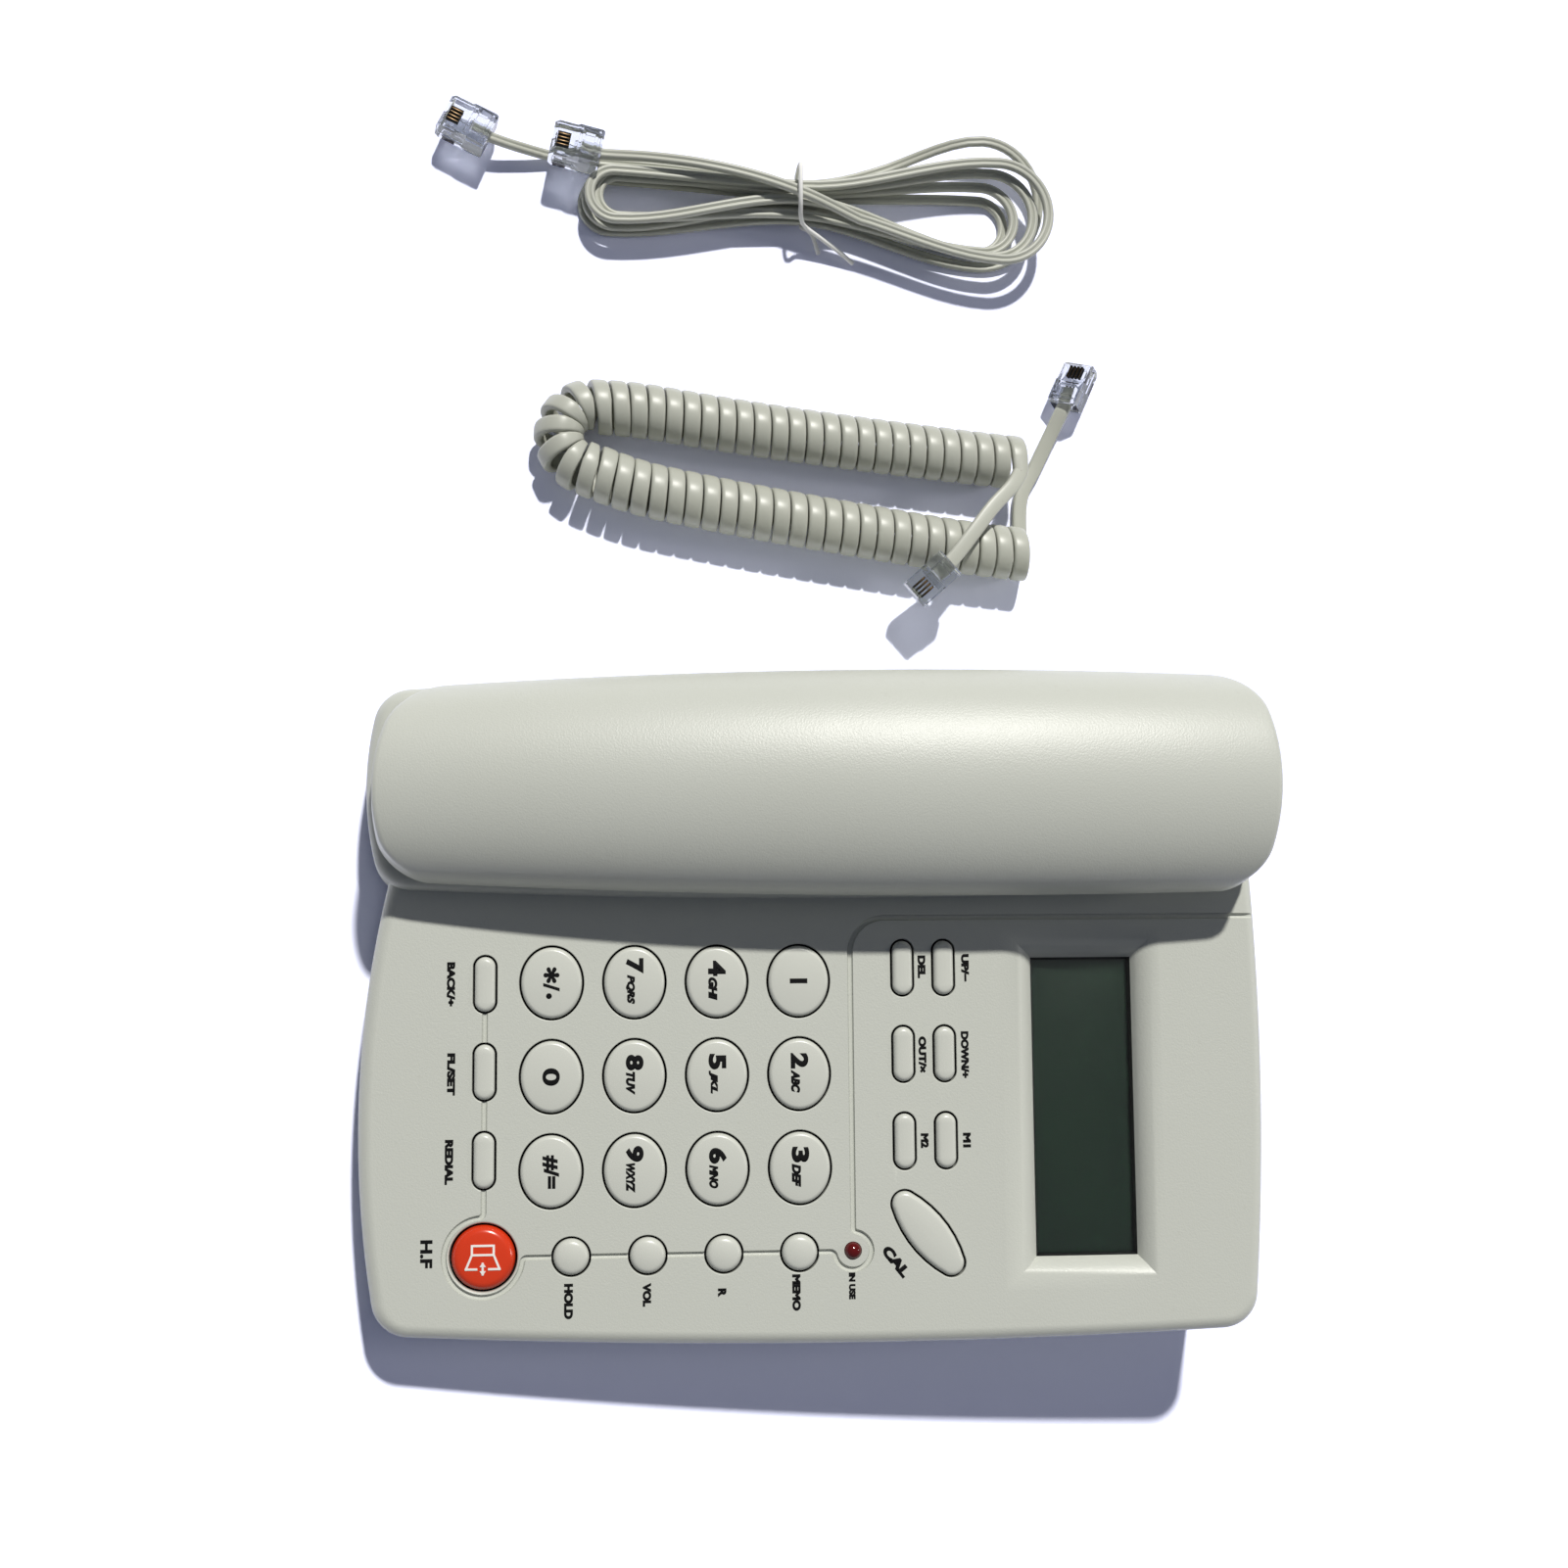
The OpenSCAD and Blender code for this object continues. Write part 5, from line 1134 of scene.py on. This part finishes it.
def makeUpperHousing():
    shell, lensRoom = hollowShell()
    front, back, high = deck["notch"]
    left = handset["x"] - handsetHalf((front + back) / 2, handset["gripInset"])
    low = deck["jackClearance"] - deck["jackHeight"] / 2 - 1
    for cutter in (gripPrism("bed", deck["cradleGap"], deck["bed"], 30),
            endWells("wells", deck["cradleGap"], -deck["wellDepth"], deck["bed"] + 2),
            displayCutter(), lensRoom, *grooveCutters(),
            joinPieces("keyHoles", atKeys(keyHoleCutter, "_hole")),
            prism("lampHole", circle(*deck["lampPlace"], deck["lampHole"], 40), -5, 5),
            prism("hookHole", circle(*deck["hookPlace"], deck["hookHole"], 40), -10, 10),
            boxBlock("cordNotch", (-85, front, low), (left, back, low + high))):
        ontoDeck(cutter)
        combine(shell, cutter)
    for (x, y, wide), turn in ((deck["lineJack"], -90), (deck["cordJack"], 0)):
        combine(shell, jackCutter("jackHole", wide, (x, y, deck["jackLevel"]), turn))
    hole = circle(*deck["micHole"], 24)
    combine(shell, stackRings("micHole", [[(px, y, pz) for px, pz in hole] for y in deck["micThrough"]]))
    applyModifier(shell, "TRIANGULATE", min_vertices=5)
    mergeClose(shell)
    left, right, front, back = deck["window"]
    offDeck = deckPlace.inverted()

    def onShadedLip(face):  # painted shade: the slanted lip round the window is near-black, for the shade on its deep sides
        spot = offDeck @ face.center / mm
        inWindow = left + 0.02 < spot.x < right - 0.02 and front + 0.02 < spot.y < back - 0.02
        return inWindow and 0 < -deck["windowDepth"] - spot.z < deck["lensLip"] + 0.5

    paintTwo(shell, "housing", "displayEdge", onShadedLip)
    shade(shell, 30)
    print("upper housing:", len(shell.data.polygons), "faces")
    return dress(shell, "housing", "housing_plastic", "base", "upper_housing")


makeKeys()
makeUpperHousing()


def handsetSkin(name, d):  # one side of the top shell as a bent grid
    columns, rows = handset["columns"], handset["rows"]
    ends = [(0, 0, 0)] + [(1, *arc) for arc in quarterArc(handset["endSteps"])]
    spots = [(0, 1, *end) for end in ends]  # share of the length, which end, whether raised, arc
    spots += [(j / rows, 0, 1, 0, 0) for j in range(1, rows)]
    spots += [(1, -1, *end) for end in reversed(ends)]
    clearSelection()
    bpy.ops.mesh.primitive_grid_add(x_subdivisions=columns, y_subdivisions=len(spots) - 1, size=1)
    piece = bpy.context.object
    piece.name = name
    for index, vertex in enumerate(piece.data.vertices):
        t, end, up, inward, down = spots[index // (columns + 1)]
        phi = pi * ((index % (columns + 1)) / columns - 0.5)
        x, v = handsetSpot(phi, t, d, handset["endLean"] * up)
        crest = handset["crest"] * handsetHalf(v, 0) / handset["halfWidth"] - d
        full = crest * cos(phi) * up
        easing = min(handset["endEdge"] - d * handset["innerEdge"], full / 2)
        v += end * easing * inward
        vertex.co = Vector((x + handset["x"], v, bow(v) + full - easing * down)) * mm
    return piece


def makeHandsetTop():
    outer = handsetSkin("handsetTop", 0)
    inner = handsetSkin("handsetLining", handset["wall"])
    pick(inner)
    inner.data.flip_normals()
    shell = joinPieces("handsetTop", [outer, inner])
    selectWhere(shell, "edges", lambda rim: rim.is_boundary)
    bpy.ops.mesh.bridge_edge_loops()
    mergeClose(shell)
    faceOutwards(shell)
    ontoDeck(shell)
    shade(shell, 44)
    return dress(shell, "housing", "housing_plastic", "handset", "handset_top_shell")


makeHandsetTop()
dress(copyWorks("handset_bottom_shell", "handsetBottom", edge=0.3), "housing", "housing_plastic", "handset",
    "handset_bottom_shell")
print("handset is closed")


def makeDisplay():
    module = copyWorks("display_module", "displayModule", edge=0.1)
    up = deckPlace.to_3x3() @ Vector((0, 0, 1))
    selectWhere(module, "faces", lambda face: face.normal.dot(up) > 0.99)
    bpy.ops.mesh.inset(thickness=deck["displayFrameAndShade"] * mm)
    backToObject()
    # the border round the crystal is near-black: partly the module's real frame, partly painted shade along
    # the window's edges
    paintTwo(module, "displayEdge", "display", lambda face: face.select)
    dress(module, "display", "display", "base", "display_module")


works = [  # material, slot, body, how far the edges are eased, and the works parts that take them
    ("window", "window_plastic", "base", 0.15, ["display_window"]),
    ("housing", "housing_plastic", "base", 0.25, ["lower_housing"]),
    ("board", "circuit_board", "base", 0.12, ["main_board"]),
    ("key", "key_plastic", "base", 0.12, ["keypad_mat"]),
    ("black", "black_plastic", "base", 0.12, ["loudspeaker", "handsfree_microphone", "line_jack",
        "base_handset_jack", "hook_switch"]),
    ("steel", "screw_steel", "base", 0.12, ["housing_screws"]),
    ("rubber", "foot_rubber", "base", 0.12, ["rubber_feet"]),
    ("cell", "cell_metal", "base", 0.12, ["battery_cells"]),
    ("housing", "housing_plastic", "battery_door", 0.12, ["battery_door"]),
    ("housing", "housing_plastic", "hook_plunger", 0.12, ["hook_plunger"]),
    ("lamp", "red_lamp", "base", 0.12, ["in_use_lamp"]),
    ("black", "black_plastic", "handset", 0.12, ["handset_receiver", "handset_microphone", "handset_jack"]),
    ("steel", "screw_steel", "handset", 0.12, ["handset_screws"])]

makeDisplay()
for material, slotName, body, edge, nodes in works:
    for node in nodes:
        first, *others = node.split("_")
        name = first + "".join(word.capitalize() for word in others)
        dress(copyWorks(node, name, edge), material, slotName, body, node)
print("display, lamp and works are dressed")


letters = {
    "thickness": 0.12, "lift": 0.045,
    "labels": [  # words, x and v of the middle, length along x, height along v, turn, slant, weight
        ("BACK/÷", -5.5, -83.4, 9.9, 1.85), ("FL/SET", 14.6, -83.2, 9.4, 1.8),
        ("REDIAL", 34.0, -83.5, 9.9, 1.85), ("H.F", 54.0, -88.3, 6.1, 2.7, 0, 0, 0.045),
        ("HOLD", 64.9, -56.9, 7.7, 2.0), ("VOL", 63.8, -39.5, 5.2, 1.9), ("R", 63.7, -22.7, 1.9, 1.9),
        ("MEMO", 64.0, -6.0, 8.0, 1.9), ("IN USE", 62.8, 6.6, 5.9, 1.5), ("DEL", -8.6, 23.5, 5.2, 1.8),
        ("UP/−", -8.3, 33.6, 6.3, 1.8), ("OUT/×", 11.4, 23.4, 8.3, 1.8), ("DOWN/+", 11.5, 33.2, 10.6, 1.8),
        ("M2", 30.8, 23.6, 3.3, 1.8), ("M1", 30.8, 33.3, 3.3, 1.8), ("CAL", 57.6, 16.6, 7.9, 2.5, 38.5)],
    "small": {"key_2": "ABC", "key_3": "DEF", "key_4": "GHI", "key_5": "JKL", "key_6": "MNO",
        "key_7": "PQRS", "key_8": "TUV", "key_9": "WXYZ"},
    "smallSizes": {3: (5.2, -3), 4: (6.6, -3.7)},  # length of that many letters, and x of their digit
    "digit": (0.05, 3.5, 4.0, 0, 0, 0.055), "smallSpot": (1.6, -0.9), "smallStyle": (2.05, 0, 0.25, 0.072),
    "signs": {  # the other keys: words, x and v from the key's middle, length, height, turn, slant, weight
        "key_1": [("I", 0, 0, 1.1, 4.0, 0, 0, 0)], "key_0": [("0", 0, 0, 3.9, 3.9, 0, 0, 0.03)],
        "key_hash": [("#/=", 0, 0, 7.4, 3.7, 0, 0, 0.042)],
        "key_star": [("*", -1.75, 0, 3.6, 3.6, 0, 0, 0.03), ("/", 0.95, 0, 1.9, 3.7, 0, 0, 0.03),
            ("•", 2.95, -0.55, 1.3, 1.3, 0, 0, 0.03)]},
    "horn": [  # lines of the loudspeaker sign, from the red key's middle
        [(-2.7, -2.4), (-0.7, -2.4), (-0.7, 2.4), (-2.7, 2.4), (-2.7, -2.4)],
        [(2.4, -1.4), (2.4, -3.7), (-0.7, -2.4)], [(-0.7, 2.4), (2.4, 3.7), (2.4, 1.4)],
        [(1.2, 0), (3.5, 0)]],
    "arrowHeads": [(0.9, 1.9), (3.8, 2.8)], "arrowHalf": 0.7, "stroke": 0.24, "signSunk": 0.06,
    "signHeight": 0.22, "arrowLift": 0.005,
}


def printWords(name, words, x, v, length, height, turn=0, slant=0.0, bold=0.07, rise=None):
    clearSelection()
    bpy.ops.object.text_add()
    text = bpy.context.object
    text.name = name
    text.data.body = words
    text.data.size = 1
    text.data.shear = slant
    text.data.bevel_depth = bold
    text.data.bevel_resolution = 0
    text.data.resolution_u = 6
    text.data.extrude = 0.5
    bpy.ops.object.convert(target="MESH")
    text = bpy.context.object
    across, along = zip(*[vertex.co.xy for vertex in text.data.vertices])
    (left, right), (foot, head) = [(min(sides), max(sides)) for sides in (across, along)]
    for vertex in text.data.vertices:
        px, py = turned(((vertex.co.x - left) / (right - left) - 0.5) * length,
            ((vertex.co.y - foot) / (head - foot) - 0.5) * height, turn)
        ground = rise(x + px, v + py) if rise else 0
        top = letters["lift"] if vertex.co.z > 0 else letters["lift"] - letters["thickness"]
        vertex.co = Vector((x + px, v + py, ground + top)) * mm
    mergeClose(text, 0.001)
    ontoDeck(text)
    return text


def printDeckLabels():
    prints = [printWords("label", *label) for label in letters["labels"]]
    dress(joinPieces("deckLettering", prints), "ink", "black_plastic", "base")


def keySigns(name):
    if name in letters["signs"]:
        return letters["signs"][name]
    small = letters["small"][name]
    length, middle = letters["smallSizes"][len(small)]
    return [(name[-1], middle, *letters["digit"]),
        (small, *letters["smallSpot"], length, *letters["smallStyle"])]


def printKeyFigures():
    for name, kind, x, v in keyPlaces:
        if kind != "dial":
            continue

        def rise(px, py):
            return crownHeight("dial", px - x, py - v)

        prints = [printWords("figure", sign, x + px, v + pv, *sizes, rise)
            for sign, px, pv, *sizes in keySigns(name)]
        dress(joinPieces(name + "_figure", prints), "ink", "black_plastic", name)


def signBlock(name, ring, height):  # follows the red key's crown
    x, v = keySpots["key_handsfree"]
    low = [(x + px, v + pv, crownHeight("hf", px, pv) - letters["signSunk"]) for px, pv in ring]
    return stackRings(name, [low, [(px, pv, z + height) for px, pv, z in low]])


def printSpeakerSign():  # an open horn with a small two-headed arrow
    parts = []
    for line in letters["horn"]:
        for a, b in zip(line, line[1:]):
            d = unit(Vector(b) - Vector(a)) * letters["stroke"]
            n = Vector((-d.y, d.x))
            start, stop = Vector(a) - d, Vector(b) + d
            ring = [start + n, start - n, stop - n, stop + n]
            parts.append(signBlock("stroke", ring, letters["signHeight"]))
    for tip, foot in letters["arrowHeads"]:
        ring = [(tip, 0), (foot, letters["arrowHalf"]), (foot, -letters["arrowHalf"])]
        parts.append(signBlock("arrow", ring, letters["signHeight"] + letters["arrowLift"]))
    sign = joinPieces("speakerSign", parts)
    ontoDeck(sign)
    dress(sign, "whiteInk", "red_key_plastic", "key_handsfree")


printDeckLabels()
printKeyFigures()
printSpeakerSign()
print("lettering is printed")
